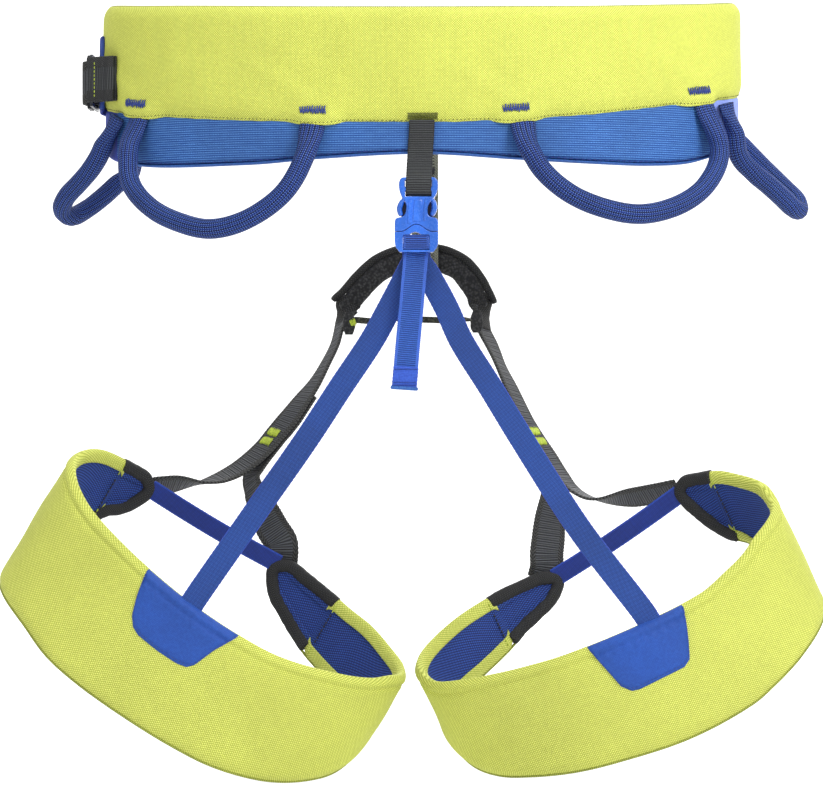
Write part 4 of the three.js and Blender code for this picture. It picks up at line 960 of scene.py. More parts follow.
# Gear loops: a braided sleeve, flat where it is sewn in and round where it hangs.
gear_droop = 65
gear_round = 5.6
gear_flat = 2.2
gear_spread = 7.2
gear_columns = 36
gear_turn_share = 0.12
gear_loops = {
    "rear_left": {
        "ends": (-149.5, -109.3), "lean": 14, "snug": 1.1,
        "shares": [
            (-0.06, 0, 0), (-0.085, 0.233, 0.4), (-0.033, 0.558, 0.8), (0.155, 0.776, 1), (0.358, 0.893, 1),
            (0.534, 0.932, 1), (0.72, 0.842, 1), (0.897, 0.607, 0.9), (0.975, 0.308, 0.5), (0.985, 0, 0),
        ],
    },
    "rear_right": {
        "ends": (-72.9, -30.5), "lean": 14, "snug": 1.1,
        "shares": [
            (0.02, 0, 0), (0.024, 0.218, 0.4), (0.069, 0.426, 0.7), (0.177, 0.644, 1), (0.341, 0.8, 1),
            (0.536, 0.883, 1), (0.766, 0.834, 1), (0.959, 0.689, 0.9), (1.11, 0.42, 0.5), (1.04, 0, 0),
        ],
    },
    "side_left": {
        "ends": (-161, -203), "lean": 26, "snug": 0,
        "shares": [
            (0, 0, 0), (0.05, 0.16, 0.02), (0.1, 0.321, 0.1), (0.16, 0.454, 0.24), (0.24, 0.57, 0.431),
            (0.34, 0.691, 0.674), (0.46, 0.795, 0.76), (0.56, 0.851, 0.625), (0.68, 0.785, 0.412),
            (0.8, 0.661, 0.202), (0.88, 0.541, 0.027), (0.94, 0.456, -0.124), (0.99, 0.12, -0.1), (1, 0, 0),
        ],
    },
    "side_right": {
        "ends": (-20, 17), "lean": 26, "snug": 0,
        "shares": [
            (0, 0, 0), (0.04, 0.2, 0), (0.1, 0.45, 0.02), (0.16, 0.59, 0.263), (0.24, 0.686, 0.505),
            (0.34, 0.789, 0.758), (0.44, 0.873, 0.981), (0.54, 0.88, 1.115), (0.62, 0.796, 1.117),
            (0.72, 0.672, 0.925), (0.84, 0.481, 0.609), (0.92, 0.341, 0.406), (0.97, 0.2, 0.2), (1, 0, 0),
        ],
    },
}


def gear_loop(word, ends, lean, snug, shares):
    def foot(angle):
        past = angle < -180 or angle > 0
        return belt_heights(angle)[1] - (13 if past else 2)

    first, last = foot(ends[0]), foot(ends[1])
    middle_out = belt_out((ends[0] + ends[1]) / 2)
    start_out = lining_thick + band_thick - snug + gap + gear_flat
    rows = []
    for along, down, away in shares:
        angle = ends[0] + (ends[1] - ends[0]) * along
        height = first + (last - first) * along - down * gear_droop
        rows.append(belt_point(angle, start_out, height) + middle_out * away * lean)
    places, tangents, marks, _ = follow(rows, 1.1)
    rings = []
    for i, spot in enumerate(places):
        u = marks[i] / marks[-1]
        share = ease(min(min(u, 1 - u) / gear_turn_share, 1))
        half_out = gear_flat + (gear_round - gear_flat) * share
        half_across = gear_spread + (gear_round - gear_spread) * share
        foot_out = belt_out(ends[0] if u < 0.5 else ends[1])
        out = unit(foot_out * (1 - share) + middle_out * share)
        spot = spot + out * (half_out - gear_flat)
        across = unit(np.cross(tangents[i], out))
        normal = unit(np.cross(across, tangents[i]))
        ring = []
        for turn in circle(gear_columns):
            rib = 1 - 0.028 * abs(math.sin(turn * 6)) + 0.012 * wander(spot, 9, 2.2)
            flank = across * math.cos(turn) * half_across * rib
            ring.append(spot + flank + normal * math.sin(turn) * half_out * rib)
        rings.append(ring)
    turns = np.linspace(0, 1, gear_columns + 1) / mm
    piece = grid(f"gear_{word}_sleeve", rings, turns, marks, braid)
    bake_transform(piece)
    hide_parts(f"gear_loop_{word}")


for word, loop in gear_loops.items():
    gear_loop(word, **loop)


# The rear strap and the drop-seat buckle.
rear_strap_width = 14.2
strap_x = -0.4
buckle_x = -3.5
buckle_y = -95.4
buckle_top = -53
bar_z = buckle_top - 6.5
strap_turn = math.hypot(1.3, 1.3) + gap + webbing_thick / 2


def rear_strap():
    seam = belt_heights(-90)[1]
    back = -(belt_half_depth + lining_thick + band_thick + gap + webbing_thick / 2)
    rows = [
        (strap_x, back, seam + 1.5), (strap_x - 0.3, back - 0.2, seam - 6),
        (strap_x - 0.8, back - 0.2, seam - 14),
        (strap_x - 1.4, back - 2.2, seam - 24), (strap_x - 1.8, buckle_y - strap_turn - 0.2, bar_z + 5),
        (strap_x - 2, buckle_y - strap_turn, bar_z),
    ]
    for i in range(1, 9):
        turn = math.pi * i / 8
        y = buckle_y - math.cos(turn) * strap_turn
        rows.append((strap_x - 2, y, bar_z - math.sin(turn) * strap_turn))
    rows += [(strap_x - 2, buckle_y + strap_turn, bar_z + rise) for rise in (3, 6)]
    places, tangents, marks, _ = follow(rows, 0.8)
    out = np.array([unit(np.cross(right, t)) for t in tangents])
    across = np.tile(right, (len(places), 1))
    rings = tape_rings(
        places, across, out, marks, rear_strap_width, webbing_thick, rib=1.25, rib_depth=0.12, border=0.93)
    piece = grid("rear_strap_web", rings, tape_columns(rear_strap_width), marks, black_web)
    place(piece, "harness", "black_webbing", "rear_strap")
    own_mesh(piece)


rear_strap()


def plate(name, outline, holes, thick, bevel, middle_y, material, body, slot, *nodes):
    """A moulded plate with rounded edges: an outline in X and Z, holes in it, and a thickness along Y."""
    curve = bpy.data.curves.new(name, "CURVE")
    curve.dimensions = "2D"
    curve.fill_mode = "BOTH"
    for points in [outline, *holes]:
        line = curve.splines.new("POLY")
        line.points.add(len(points) - 1)
        for point, (x, z) in zip(line.points, points):
            point.co = (x * mm, z * mm, 0, 1)
        line.use_cyclic_u = True
    curve.extrude = (thick / 2 - bevel) * mm
    curve.bevel_depth = bevel * mm
    curve.bevel_resolution = 4
    curve.offset = -bevel * mm
    shape = bpy.data.objects.new(name + "_curve", curve)
    bpy.context.scene.collection.objects.link(shape)
    data = bpy.data.meshes.new_from_object(shape.evaluated_get(bpy.context.evaluated_depsgraph_get()))
    bpy.data.objects.remove(shape)
    for vertex in data.vertices:
        x, z, y = vertex.co
        vertex.co = (x + buckle_x * mm, middle_y * mm - y, z)
    data.name = name
    data.flip_normals()
    data.materials.clear()
    data.materials.append(material)
    piece = bpy.data.objects.new(name, data)
    bpy.context.scene.collection.objects.link(piece)
    bpy.context.view_layer.update()
    weld = piece.modifiers.new("weld", "WELD")
    weld.merge_threshold = 0.00001
    data.polygons.foreach_set("use_smooth", [True] * len(data.polygons))
    edge = piece.modifiers.new("edges", "WEIGHTED_NORMAL")
    edge.keep_sharp = False
    return place(piece, body, slot, *nodes)


def bend(start, control, end, steps):
    """Points of a rounded corner between two points."""
    a, b, c = (np.array(p, float) for p in (start, control, end))
    return [tuple((1 - t) ** 2 * a + 2 * t * (1 - t) * b + t * t * c) for t in np.linspace(0, 1, steps)]


def box_outline(x0, x1, z0, z1):
    return [(x0, z0), (x1, z0), (x1, z1), (x0, z1)]


sides = ((-1, "left"), (1, "right"))
buckle_half = 12
stem_half = 5.9
lug_half = 10.7
shoulder_z = -74.8
part_side_z = -83
part_middle_z = -79
buckle_bottom = -94.4
buckle_thick = 7


def parting(x):
    share = clamp(abs(x) / (buckle_half * 0.72))
    return part_side_z + (part_middle_z - part_side_z) * (0.5 + 0.5 * math.cos(share * math.pi))


def tilt(z):
    """The clip's top leans a little to the right of its body."""
    return 1.1 * ease(clamp((z + 75) / 14))


def leaned(points):
    return [(x + tilt(z), z) for x, z in points]


# The ridges on the clip's web: left and right side, top and foot.
ridges = {
    "left": (-4.9, -3.1, -65.5, -78.6),
    "middle": (-1.9, 2.5, -65.5, -77.4),
    "right": (3.8, 5.4, -65.5, -77.0),
}


def clip_upper():
    side = bend((lug_half - 2.8, buckle_top), (lug_half, buckle_top), (lug_half + 0.1, buckle_top - 4.2), 9)
    side += bend((lug_half + 0.1, buckle_top - 4.4), (lug_half, buckle_top - 8.6), (8.7, -64.6), 9)
    side += bend((8.5, -64.9), (6.6, -66.6), (stem_half, -69), 7)
    side += bend((stem_half, -71), (stem_half, shoulder_z), (stem_half + 3.2, shoulder_z - 0.3), 8)
    side += bend(
        (buckle_half - 1.8, shoulder_z - 0.5), (buckle_half, shoulder_z - 0.9),
        (buckle_half, shoulder_z - 3.4), 7)
    lower = [(x, parting(x) + gap / 2) for x in np.linspace(buckle_half, -buckle_half, 41)]
    male = leaned(side) + lower + leaned([(-x, z) for x, z in reversed(side)])
    slot_x = strap_x - 2 - buckle_x
    slots = [
        box_outline(slot_x - 7.4, slot_x + 7.4, bar_z + 1.3, buckle_top - 1.8),
        box_outline(slot_x - 7.3, slot_x + 7.3, bar_z - 4.1, bar_z - 1.3),
    ]
    ride = ("drop_buckle", "buckle_plastic")
    plate("buckle_male_body", male, slots, buckle_thick, 0.75, buckle_y, buckle_blue, *ride, "buckle_male")
    # The back web is very dark blue: painted shade in the recess behind the ridges.
    web = [(-8.4, -66.5), (8.4, -66.5), (8.4, shoulder_z - 0.6), (-8.4, shoulder_z - 0.6)]
    plate("buckle_male_web", leaned(web), [], 0.7, 0.2, buckle_y + 3.05, painted_shade_blue, *ride)
    ridge_y = buckle_y - buckle_thick / 2 + 0.05
    for name, (x0, x1, top, low) in ridges.items():
        line = leaned([(x0, low), (x1, low), (x1, -72), (x1, top), (x0, top), (x0, -72)])
        plate(f"buckle_male_ridge_{name}", line, [], 1.3, 0.6, ridge_y, buckle_blue, *ride)
    for sign, word in sides:
        edges = box_outline(-1.1, 1.1, part_side_z + 2, part_side_z - 6.8)
        prong = [(sign * 9.6 + x, z) for x, z in edges]
        plate(f"buckle_prong_{word}", prong, [], 3, 0.4, buckle_y, buckle_blue, *ride)


def clip_lower():
    body = [(x, parting(x) - gap / 2) for x in np.linspace(-buckle_half, buckle_half, 41)]
    body += [(buckle_half, part_side_z - 4)]
    body += bend(
        (buckle_half, part_side_z - 5), (buckle_half - 0.2, part_side_z - 9), (10.4, buckle_bottom + 1.6), 8)
    body += bend((10.2, buckle_bottom + 1.2), (9.6, buckle_bottom), (8.6, buckle_bottom), 6)
    body += [(-x, z) for x, z in reversed(body[42:])]
    window = [(-7.4, -93.1), (7.2, -93.1), (7.2, -85.6)]
    window += bend((7.2, -85.6), (7.2, -84.8), (6.4, -84.8), 4)
    window += bend((2.4, -84.7), (-0.7, -81.9), (-3.8, -84.7), 12)
    window += bend((-6.6, -84.8), (-7.4, -84.8), (-7.4, -85.6), 4)
    ride = ("harness", "buckle_plastic")
    nodes = (*ride, "buckle_female")
    plate("buckle_female_body", body, [window], buckle_thick, 0.5, buckle_y, buckle_blue, *nodes)
    # The parting line is very dark blue: painted shade in the gap between the halves.
    spread = np.linspace(-buckle_half + 0.6, buckle_half - 0.6, 41)
    line = [(x, parting(x) - gap / 2 - 0.2) for x in spread]
    line += [(x, parting(x) + gap / 2 - 0.05) for x in spread[::-1]]
    plate("buckle_parting_line", line, [], buckle_thick - 1.6, 0.02, buckle_y, painted_shade_blue, *ride)


def release_arm(sign, word):
    arm_foot = shoulder_z + gap + 0.6
    rows = [(8.6, arm_foot), (9.3, arm_foot + 1.8), (9.65, -70.4), (9.1, -67.4), (7.9, -65.2)]
    rows = [(buckle_x + sign * x + tilt(z), buckle_y - 0.2, z) for x, z in rows]
    places, tangents, marks, _ = follow(rows, 0.4)
    rings = []
    for i, spot in enumerate(places):
        out = unit(np.cross(tangents[i], forward))
        size = 0.75 + 0.25 * math.sin(math.pi * clamp(marks[i] / marks[-1] * 1.1)) ** 0.5
        rings.append(oval(spot, forward, out, 2.8, 1.6 * size, 24, 0.7))
    rings = rounded_ends(rings, (tangents[0], tangents[-1]), 0.45)
    piece = grid(f"buckle_arm_{word}", rings, np.linspace(0, 10, 25), rounded_marks(marks), buckle_blue)
    place(piece, f"arm_{word}", "buckle_plastic", f"release_arm_{word}")


clip_upper()
clip_lower()
for sign, word in sides:
    release_arm(sign, word)


# The leg loops. A place on a loop: an angle round it, a distance out of its middle surface and a height.
class Loop:
    def __init__(self, word, side, centre, roll, edges):
        self.word = word
        self.side = side
        self.body = f"leg_{word}"
        turn = math.radians(roll)
        self.outward = np.array((side * math.cos(turn), 0, math.sin(turn)))
        self.upward = np.array((-side * math.sin(turn), 0, math.cos(turn)))
        self.centre = np.array(centre, float)
        self.edge = reader(edges)

    def heights(self, angle):
        return self.edge(angle) * leg_height

    def facing(self, angle):
        t = math.radians(angle)
        return unit(self.outward * math.cos(t) / leg_half_length + forward * math.sin(t) / leg_half_depth)

    def point(self, angle, out, height):
        t = math.radians(angle)
        spot = self.centre + self.outward * leg_half_length * math.cos(t)
        spot = spot + forward * leg_half_depth * math.sin(t)
        return spot + self.facing(angle) * out + self.upward * height


loops = {word: Loop(word, **facts) for word, facts in legs.items()}
bound_tip = 37
bound_tail = -238
wrap = 7.5
binding_half_width = 3.9
binding_half_thick = 3.7
edge_steps = (0, 0.35, 0.9, 1.8, 3, 4.2, 5.3, 6.2, 7.2, 8.6, 10.6)
inner_steps = (0, 0.5, 1.4, 2.8, 4.6, 6.4, wrap - 0.05, wrap, wrap + 0.8, wrap + 2.2, wrap + 4)


def bound_share(angle):
    """1 where a binding covers the pad's edge, 0 along the rest."""
    return clamp(max(angle - bound_tip, bound_tail - angle) / 1.5)


def pad_rows(low, high, steps):
    """Heights across a pad, close together near both edges."""
    scale = min(1, (high - low) / 27)
    near = [step * scale for step in steps]
    middle = np.linspace(low + near[-1], high - near[-1], 10)[1:-1]
    return [low + step for step in near] + list(middle) + [high - step for step in reversed(near)]


def stand_out(loop, angle, height, low, high, bound=0):
    """The outer face: stuffed, with a rolled rim along the top and a groove under it."""
    spot = loop.point(angle, 0, height)
    below = high - height
    edge_gap = min(height - low, below)
    seed = 11.3 if loop.side > 0 else 4.9
    fade = min(1, max(edge_gap, 0) / 9)
    out = pillow(edge_gap, 8, 0.5, leg_out * (1 - 0.35 * bound))
    out += (1.3 * wander(spot, 50, seed) + 0.7 * wander(spot, 19, seed + 3)) * fade
    out += (1 - bound) * (0.8 * bell(below - 2.9, 2.2) - 1.0 * bell(below - 6.3, 1.2))
    return out + 0.18 * math.sin(angle * 2.2 + 2 * wander(spot, 9, 2.6)) * bell(below - 7, 3)


def leg_pad(loop):
    """The pad as one closed section. Its outside and rolled rims are the shell, the inside is the lining."""
    angles = np.linspace(binding_tip - 1.2, binding_tail + 1.2, 320)
    run = run_along(np.array([loop.point(a, 0, 0) for a in angles]))
    rings, xs, bounds = [], [], []
    for angle in angles:
        top, bottom = loop.heights(angle)
        bound = bound_share(angle)
        bounds.append(bound)
        low, high = bottom + 2.4 * bound, max(top - 2.4 * bound, bottom + 2.4 * bound + 2)
        ring, x = [], []
        for height in pad_rows(low, high, edge_steps):
            ring.append(loop.point(angle, stand_out(loop, angle, height, low, high, bound), height))
            x.append(height)
        face = pad_rows(low, high, inner_steps)[::-1]
        for i, height in enumerate(face):
            edge_gap = min(height - low, high - height)
            covered = 7 <= i < len(face) - 7
            inside = leg_in * (1 - 0.35 * bound) + (0.8 if covered else 0)
            pleat = 0 if covered else 0.22 * math.sin(angle * 2.6) * min(edge_gap / 2, 1) * (1 - bound)
            ring.append(loop.point(angle, -pillow(edge_gap, 4, 0.5, -inside) + pleat, height))
            x.append(2 * high - height)
        rings.append(ring)
        xs.append(x + [x[-1] + 0.3])
    rings = np.array(rings)
    m = rings.shape[1]
    outer = len(edge_steps) * 2 + 8
    first, last = outer + 7, m - 8
    places_all = rings.reshape(-1, 3)
    parts = {True: ([], []), False: ([], [])}
    for i in range(len(rings) - 1):
        bound = min(bounds[i], bounds[i + 1]) > 0.5
        for j in range(m):
            k = (j + 1) % m
            lining = first <= j < last or (bound and outer <= j < m - 1)
            faces, uvs = parts[lining]
            faces.append((i * m + j, i * m + k, (i + 1) * m + k, (i + 1) * m + j))
            uvs += [(xs[i][j], run[i]), (xs[i][j + 1], run[i]), (xs[i + 1][j + 1], run[i + 1]),
                    (xs[i + 1][j], run[i + 1])]
    for end in (0, len(rings) - 1):
        parts[False][0].append(tuple(end * m + j for j in range(m))[:: 1 if end == 0 else -1])
        parts[False][1].extend([(0, run[end])] * m)
    for name, lining, material, slot, node in (
        ("shell", False, leg_yellow_painted_shade, "yellow_shell", f"leg_shell_{loop.word}"),
        ("lining", True, leg_lining_blue, "deep_blue_mesh", f"leg_lining_{loop.word}"),
    ):
        faces, uvs = parts[lining]
        used = sorted({v for face in faces for v in face})
        index = {v: i for i, v in enumerate(used)}
        faces = [tuple(index[v] for v in face) for face in faces]
        piece = link(f"leg_{loop.word}_{name}_cloth", places_all[used], faces, np.array(uvs) * mm, material)
        if lining:
            face_toward(piece, loop)
        else:
            face_out(piece)
        place(piece, loop.body, slot, node)


def leg_hem(loop):
    """A thin dark cord along the bottom edge, between the two bindings."""
    places = [loop.point(a, 0.1, loop.heights(a)[1] - 0.1) for a in np.linspace(38.5, -240, 130)]
    places, tangents, marks, _ = follow(places, 1.3)
    rings = []
    for spot, along in zip(places, tangents):
        side = unit(np.cross(along, loop.upward))
        rise = unit(np.cross(side, along))
        rings.append(oval(spot, side, rise, 1.3, 0.8, 12))
    piece = grid(f"leg_{loop.word}_hem", rings, np.linspace(0, 8, 13), marks, hem_dark)
    place(piece, loop.body, "yellow_shell")


def face_toward(piece, loop):
    """The lining's faces look at the loop's axis."""
    middle = Vector(tuple(loop.centre * mm))
    total = sum((face.center - middle).dot(face.normal) * face.area for face in piece.data.polygons)
    if total > 0:
        piece.data.flip_normals()


def surface(loop, angle, height, lift):
    """A place on the loop's outer face."""
    top, bottom = loop.heights(angle)
    return loop.point(angle, stand_out(loop, angle, height, bottom, top) + lift, height)


def binding(loop, word, angles):
    """Folded tape round the edge of a pad's end, with a squared-off section."""
    rows = []
    for i, (angle, edge) in enumerate(angles):
        top, bottom = loop.heights(angle)
        rows.append((i, angle, {"top": top - 3.2, "tip": (top + bottom) / 2, "bottom": bottom + 3.2}[edge]))
    read = reader(rows)
    steps = [read(v) for v in np.linspace(0, len(rows) - 1, 110)]
    places = np.array([loop.point(a, 0, h) for a, h in steps])
    run = run_along(places)
    rings = []
    columns = 18
    for i, (angle, _) in enumerate(steps):
        along = unit(places[min(i + 1, len(places) - 1)] - places[max(i - 1, 0)])
        out = loop.facing(angle)
        across = unit(np.cross(along, out))
        lump = 1 + 0.06 * wander(places[i], 7, 3.3) + 0.05 * wander(places[i], 2.4, 1.9)
        half_width, half_thick = binding_half_width * lump, binding_half_thick * lump
        rings.append(oval(places[i], across, out, half_width, half_thick, columns, 0.8, 0.7))
    tips = (unit(places[0] - places[1]) * -1, unit(places[-1] - places[-2]))
    rings = rounded_ends(rings, tips, 0.6)
    around = np.linspace(0, 22, columns + 1)
    piece = grid(f"leg_{loop.word}_binding_{word}", rings, around, rounded_marks(run), binding_cloth)
    place(piece, loop.body, "black_binding", f"leg_binding_{word}_{loop.word}")


def leg_bindings(loop):
    binding(loop, "outer", [(37.2, "top"), (41, "top"), (45, "top"), (48.5, "top"), (binding_tip, "tip"),
                            (48.5, "bottom"), (45, "bottom"), (41, "bottom"), (37.2, "bottom")])
    binding(loop, "inner", [(-238, "top"), (-245, "top"), (-251, "top"), (-257, "top"), (binding_tail, "tip"),
                            (-257, "bottom"), (-251, "bottom"), (-245, "bottom"), (-239.5, "bottom")])


# The patch's lower edge: angle, and how far it lies under the pad's top.
patch_rows = {
    "left": [
        (-68.5, 2), (-70, 17), (-71.5, 26), (-73.5, 30.5), (-76, 32.2), (-83, 32.4),
        (-89.5, 31.8), (-92.2, 30.5), (-93.9, 27), (-96.6, 14), (-100.4, 1),
    ],
    "right": [
        (-70.8, 2), (-72.4, 12), (-73.8, 20), (-75.7, 29), (-78, 31.7), (-85.7, 32.2),
        (-92, 32.8), (-94.2, 32), (-96.4, 27.5), (-98.5, 13.5), (-100.4, 1),
    ],
}


def leg_patch(loop):
    rows = sorted(patch_rows[loop.word])
    keys = [row[0] for row in rows]
    angles = np.linspace(keys[-1], keys[0], 90)
    rings, xs, border, border_out = [], [], [], []
    run = run_along(np.array([loop.point(a, 0, 0) for a in angles]))
    lines = 22
    for i, angle in enumerate(angles):
        below = np.interp(angle, keys, [row[1] for row in rows])
        top, _ = loop.heights(angle)
        high, low = top - 0.2, top - max(below, 0.8)
        end = min(i, len(angles) - 1 - i) / 3
        ring, x = [], []
        for k in range(lines + 1):
            height = high + (low - high) * k / lines
            lift = 0.85 if 0 < k < lines and end >= 1 else 0.25
            ring.append(surface(loop, angle, height, lift))
            x.append(height)
        for k in range(lines, -1, -1):
            height = high + (low - high) * k / lines
            ring.append(surface(loop, angle, height, -0.2))
            x.append(height)
        rings.append(ring)
        xs.append(x + [x[0]])
        border.append(surface(loop, angle, min(low + 1.7, high - 0.4), 0.95))
        border_out.append(loop.facing(angle))
    piece = grid(f"leg_{loop.word}_patch_cloth", rings, np.array(xs), run, patch_blue)
    place(piece, loop.body, "patch_fabric", f"leg_patch_{loop.word}")
    segments = stitch_line(border, border_out, 1.6, 0.7)
    place(stitches(f"leg_{loop.word}_patch_stitches", segments, 0.16, blue_thread), loop.body, "patch_fabric")


def lining_seams(loop):
    """The join across the lining where each binding ends, with a few bright stitches at both its ends."""
    dark, bright = [], []
    for angle in (36.2, -236.8):
        top, bottom = loop.heights(angle)
        for low, high, into in ((0.06, 0.24, bright), (0.24, 0.76, dark), (0.76, 0.94, bright)):
            line = [loop.point(angle, leg_in + 0.1, bottom + (top - bottom) * share)
                    for share in np.linspace(low, high, 10)]
            into.extend(stitch_line(line, [-loop.facing(angle)] * 10, 2.0, 0.5))
    place(stitches(f"leg_{loop.word}_lining_stitches", dark, 0.42, dark_thread), loop.body, "black_binding")
    piece = stitches(f"leg_{loop.word}_lining_tacks", bright, tack_radius, lime_thread)
    place(piece, loop.body, "black_binding")


for loop in loops.values():
    leg_pad(loop)
    leg_hem(loop)
    leg_bindings(loop)
    leg_patch(loop)
    lining_seams(loop)


# Elastics: the two rear ones, the free tail and the dark one across each loop's gap.
window_width = 14.5
window_thick = 1.2
strap_width = 13.6
strap_thick = 1.5
tail_y = buckle_y - 0.4 + gap * 2 + strap_thick / 2
elastic_shares = {
    "left": [(0, 0, 0), (0.022, 0.02, 0.03), (0.06, 0.1, 0.078), (0.117, 0.2, 0.148), (0.189, 0.35, 0.233),
             (0.333, 0.5, 0.373), (0.487, 0.65, 0.525), (0.74, 0.85, 0.758), (1, 1, 1)],
    "right": [(0, 0, 0), (0.034, 0.02, 0.033), (0.08, 0.1, 0.083), (0.128, 0.2, 0.142), (0.184, 0.35, 0.222),
              (0.314, 0.5, 0.355), (0.452, 0.65, 0.5), (0.708, 0.85, 0.755), (1, 1, 1)],
}


def rear_elastic(loop, angle, layer, clear):
    rim = loop.heights(angle)[0]
    end = loop.point(angle, 1.6 - strap_thick / 2 - gap / 2, rim + clear)
    start = np.array((buckle_x + loop.side * 1.2, tail_y + layer * (strap_thick + gap), buckle_bottom - 4))
    span = end - start
    rows = [tuple(start + span * np.array(share)) for share in elastic_shares[loop.word]]
    under = loop.point(angle, 1.0, rim - 3.5)
    rows = [(start[0], start[1], start[2] + 7)] + rows + [tuple(under)]
    piece = tape(f"rear_elastic_{loop.word}_web", rows, strap_width, strap_thick, strap_elastic)
    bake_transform(piece)
    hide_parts(f"rear_elastic_{loop.word}")


rear_elastic(loops["left"], -84.5, 1, 1)
rear_elastic(loops["right"], -81.5, 2, 1.6)


def elastic_tail():
    front = buckle_y - 2.6
    rows = [
        (buckle_x, tail_y, -87.6), (buckle_x, tail_y, -89.4), (buckle_x, tail_y, buckle_bottom),
        (buckle_x - 0.4, tail_y - 0.8, buckle_bottom - 3), (buckle_x - 1.2, front + 0.4, buckle_bottom - 12),
        (buckle_x - 2.8, front - 0.6, buckle_bottom - 30), (buckle_x - 5, front - 0.4, buckle_bottom - 54),
        (buckle_x - 6.6, front, buckle_bottom - 73.4),
    ]
    weave = {"step": 0.19, "rib": 1.15, "rib_depth": 0.1}
    piece = tape("elastic_tail_web", rows, strap_width, strap_thick, tail_elastic, **weave)
    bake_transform(piece)
    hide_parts("elastic_tail")
    end = [
        (buckle_x - 5.75, front - 1.15, buckle_bottom - 63.6),
        (buckle_x - 6.2, front - 1.2, buckle_bottom - 69),
        (buckle_x - 6.7, front - 1.0, buckle_bottom - 74.4),
    ]
    piece = tape("elastic_tail_fold", end, strap_width * 1.02, 1.3, tail_smooth, step=0.3)
    place(piece, "tail", "blue_elastic")
    # A dark blue roll under the tail's end: painted shadow of the fold.
    hem = []
    for side in (-1, -0.6, 0, 0.6, 1):
        y = front - 0.5 - 0.5 * (1 - side * side)
        hem.append((buckle_x - 6.7 + 6.6 * side, y, buckle_bottom - 75.1 - 0.45 * side, 0))
    place(tape("elastic_tail_fold_shadow", hem, 2.0, 2.6, hem_and_fold_shadow_blue, step=0.4), "tail", "blue_elastic")
    rows = []
    for drop, lean in ((64.4, 0.5), (72.0, -0.3), (73.2, 0.4)):
        x = buckle_x - 5.2 - (drop - 57) * 0.085
        for i in range(20):
            shift = (i / 19 - 0.5) * strap_width * 0.9
            rows.append(((x + shift - 0.25, front - 1.9, buckle_bottom - drop),
                         (x + shift + 0.3, front - 1.9, buckle_bottom - drop - lean), -forward))
    place(stitches("elastic_tail_stitches", rows, 0.17, blue_thread), "tail", "blue_elastic")
    depths = ((2.2, -85.3), (3.0, -86.2), (3.1, -89), (2.9, -92.5))
    window = [(buckle_x - 0.1, buckle_y - deep, z) for deep, z in depths]
    piece = tape("window_web", window, window_width, window_thick, window_elastic, **weave)
    place(piece, "harness", "blue_elastic")


elastic_tail()

leg_elastic_width = 11
leg_elastic_thick = 1.4
elastic_rise = {"left": 2.4, "right": 0.4}


def leg_elastic_piece(loop):
    """The elastic across a loop's gap, sagging a little."""
    lift = elastic_rise[loop.word]
    tip, tail = loop.heights(binding_tip), loop.heights(binding_tail)
    start = loop.point(binding_tip + 0.2, -1.6, sum(tip) / 2 + lift)
    end = loop.point(binding_tail + 0.4, -1.6, sum(tail) / 2 + 2 + lift)
    rows = [start + (end - start) * share - up * 1.2 * math.sin(math.pi * share)
            for share in (0, 0.25, 0.5, 0.75, 1)]
    piece = tape(f"leg_{loop.word}_elastic_web", rows, leg_elastic_width, leg_elastic_thick, leg_elastic)
    place(piece, loop.body, "dark_blue_elastic", f"leg_elastic_{loop.word}")


for loop in loops.values():
    leg_elastic_piece(loop)


# Front: the padded arch, the tie-in and belay loops, the risers and their branches.
front_y = 84
pad_half_width = 6.2
pad_half_thick = 3.4
rim_half_width = 2.45
rim_half_thick = 3.2
tie_in_width = 14
tie_in_thick = 3
arch_rows = [
    (-47, front_y, -119.6), (-41, front_y, -112), (-35, front_y, -105), (-24, front_y, -95.5),
    (-9, front_y, -90.2), (9, front_y, -90.2), (22.5, front_y, -95.8), (30, front_y, -104),
    (34.4, front_y, -112), (36.5, front_y, -118.6),
]


def arch():
    """The padded arch: a coarse pad under a thick rolled rim."""
    places, tangents, marks, turns = follow(arch_rows, 0.7)
    across, out = frames(tangents, turns)
    middle = np.array((-4, front_y, -122))
    pad, roll = [], []
    for i, spot in enumerate(places):
        u = marks[i] / marks[-1]
        share = 0.86 + 0.14 * min(1, math.sin(math.pi * u) * 2.4)
        outer = across[i] if across[i] @ (spot - middle) > 0 else -across[i]
        lump = 1 + 0.05 * wander(spot, 8, 6.1) + 0.025 * wander(spot, 2.5, 1.1)
        size = share * lump
        middle_line = spot - outer * 1.7
        pad.append(oval(middle_line, outer, out[i], pad_half_width * size, pad_half_thick * size, 30, 0.75))
        wing = bell(u, 0.045) + bell(1 - u, 0.045)
        rim = spot + outer * (pad_half_width + 1.5 * wing)
        lump = 1 + 0.06 * wander(spot, 5, 2.7)
        half_width = (rim_half_width - 0.5 * wing) * lump
        roll.append(oval(rim, outer, out[i], half_width, rim_half_thick * lump, 20))
    tips = (tangents[0], tangents[-1])
    for name, rings, nose, width, material, slot_nodes, soft in (
        ("arch_pad", pad, 2.2, 38, pad_black, ("black_binding", "tie_in_arch"), 0.7),
        ("arch_rim", roll, 1.6, 18, rim_black, ("black_binding",), 0.5),
    ):
        columns = np.linspace(0, width, len(rings[0]) + 1)
        piece = grid(name, rounded_ends(rings, tips, nose), columns, rounded_marks(marks), material)
        place(piece, "harness", *slot_nodes)


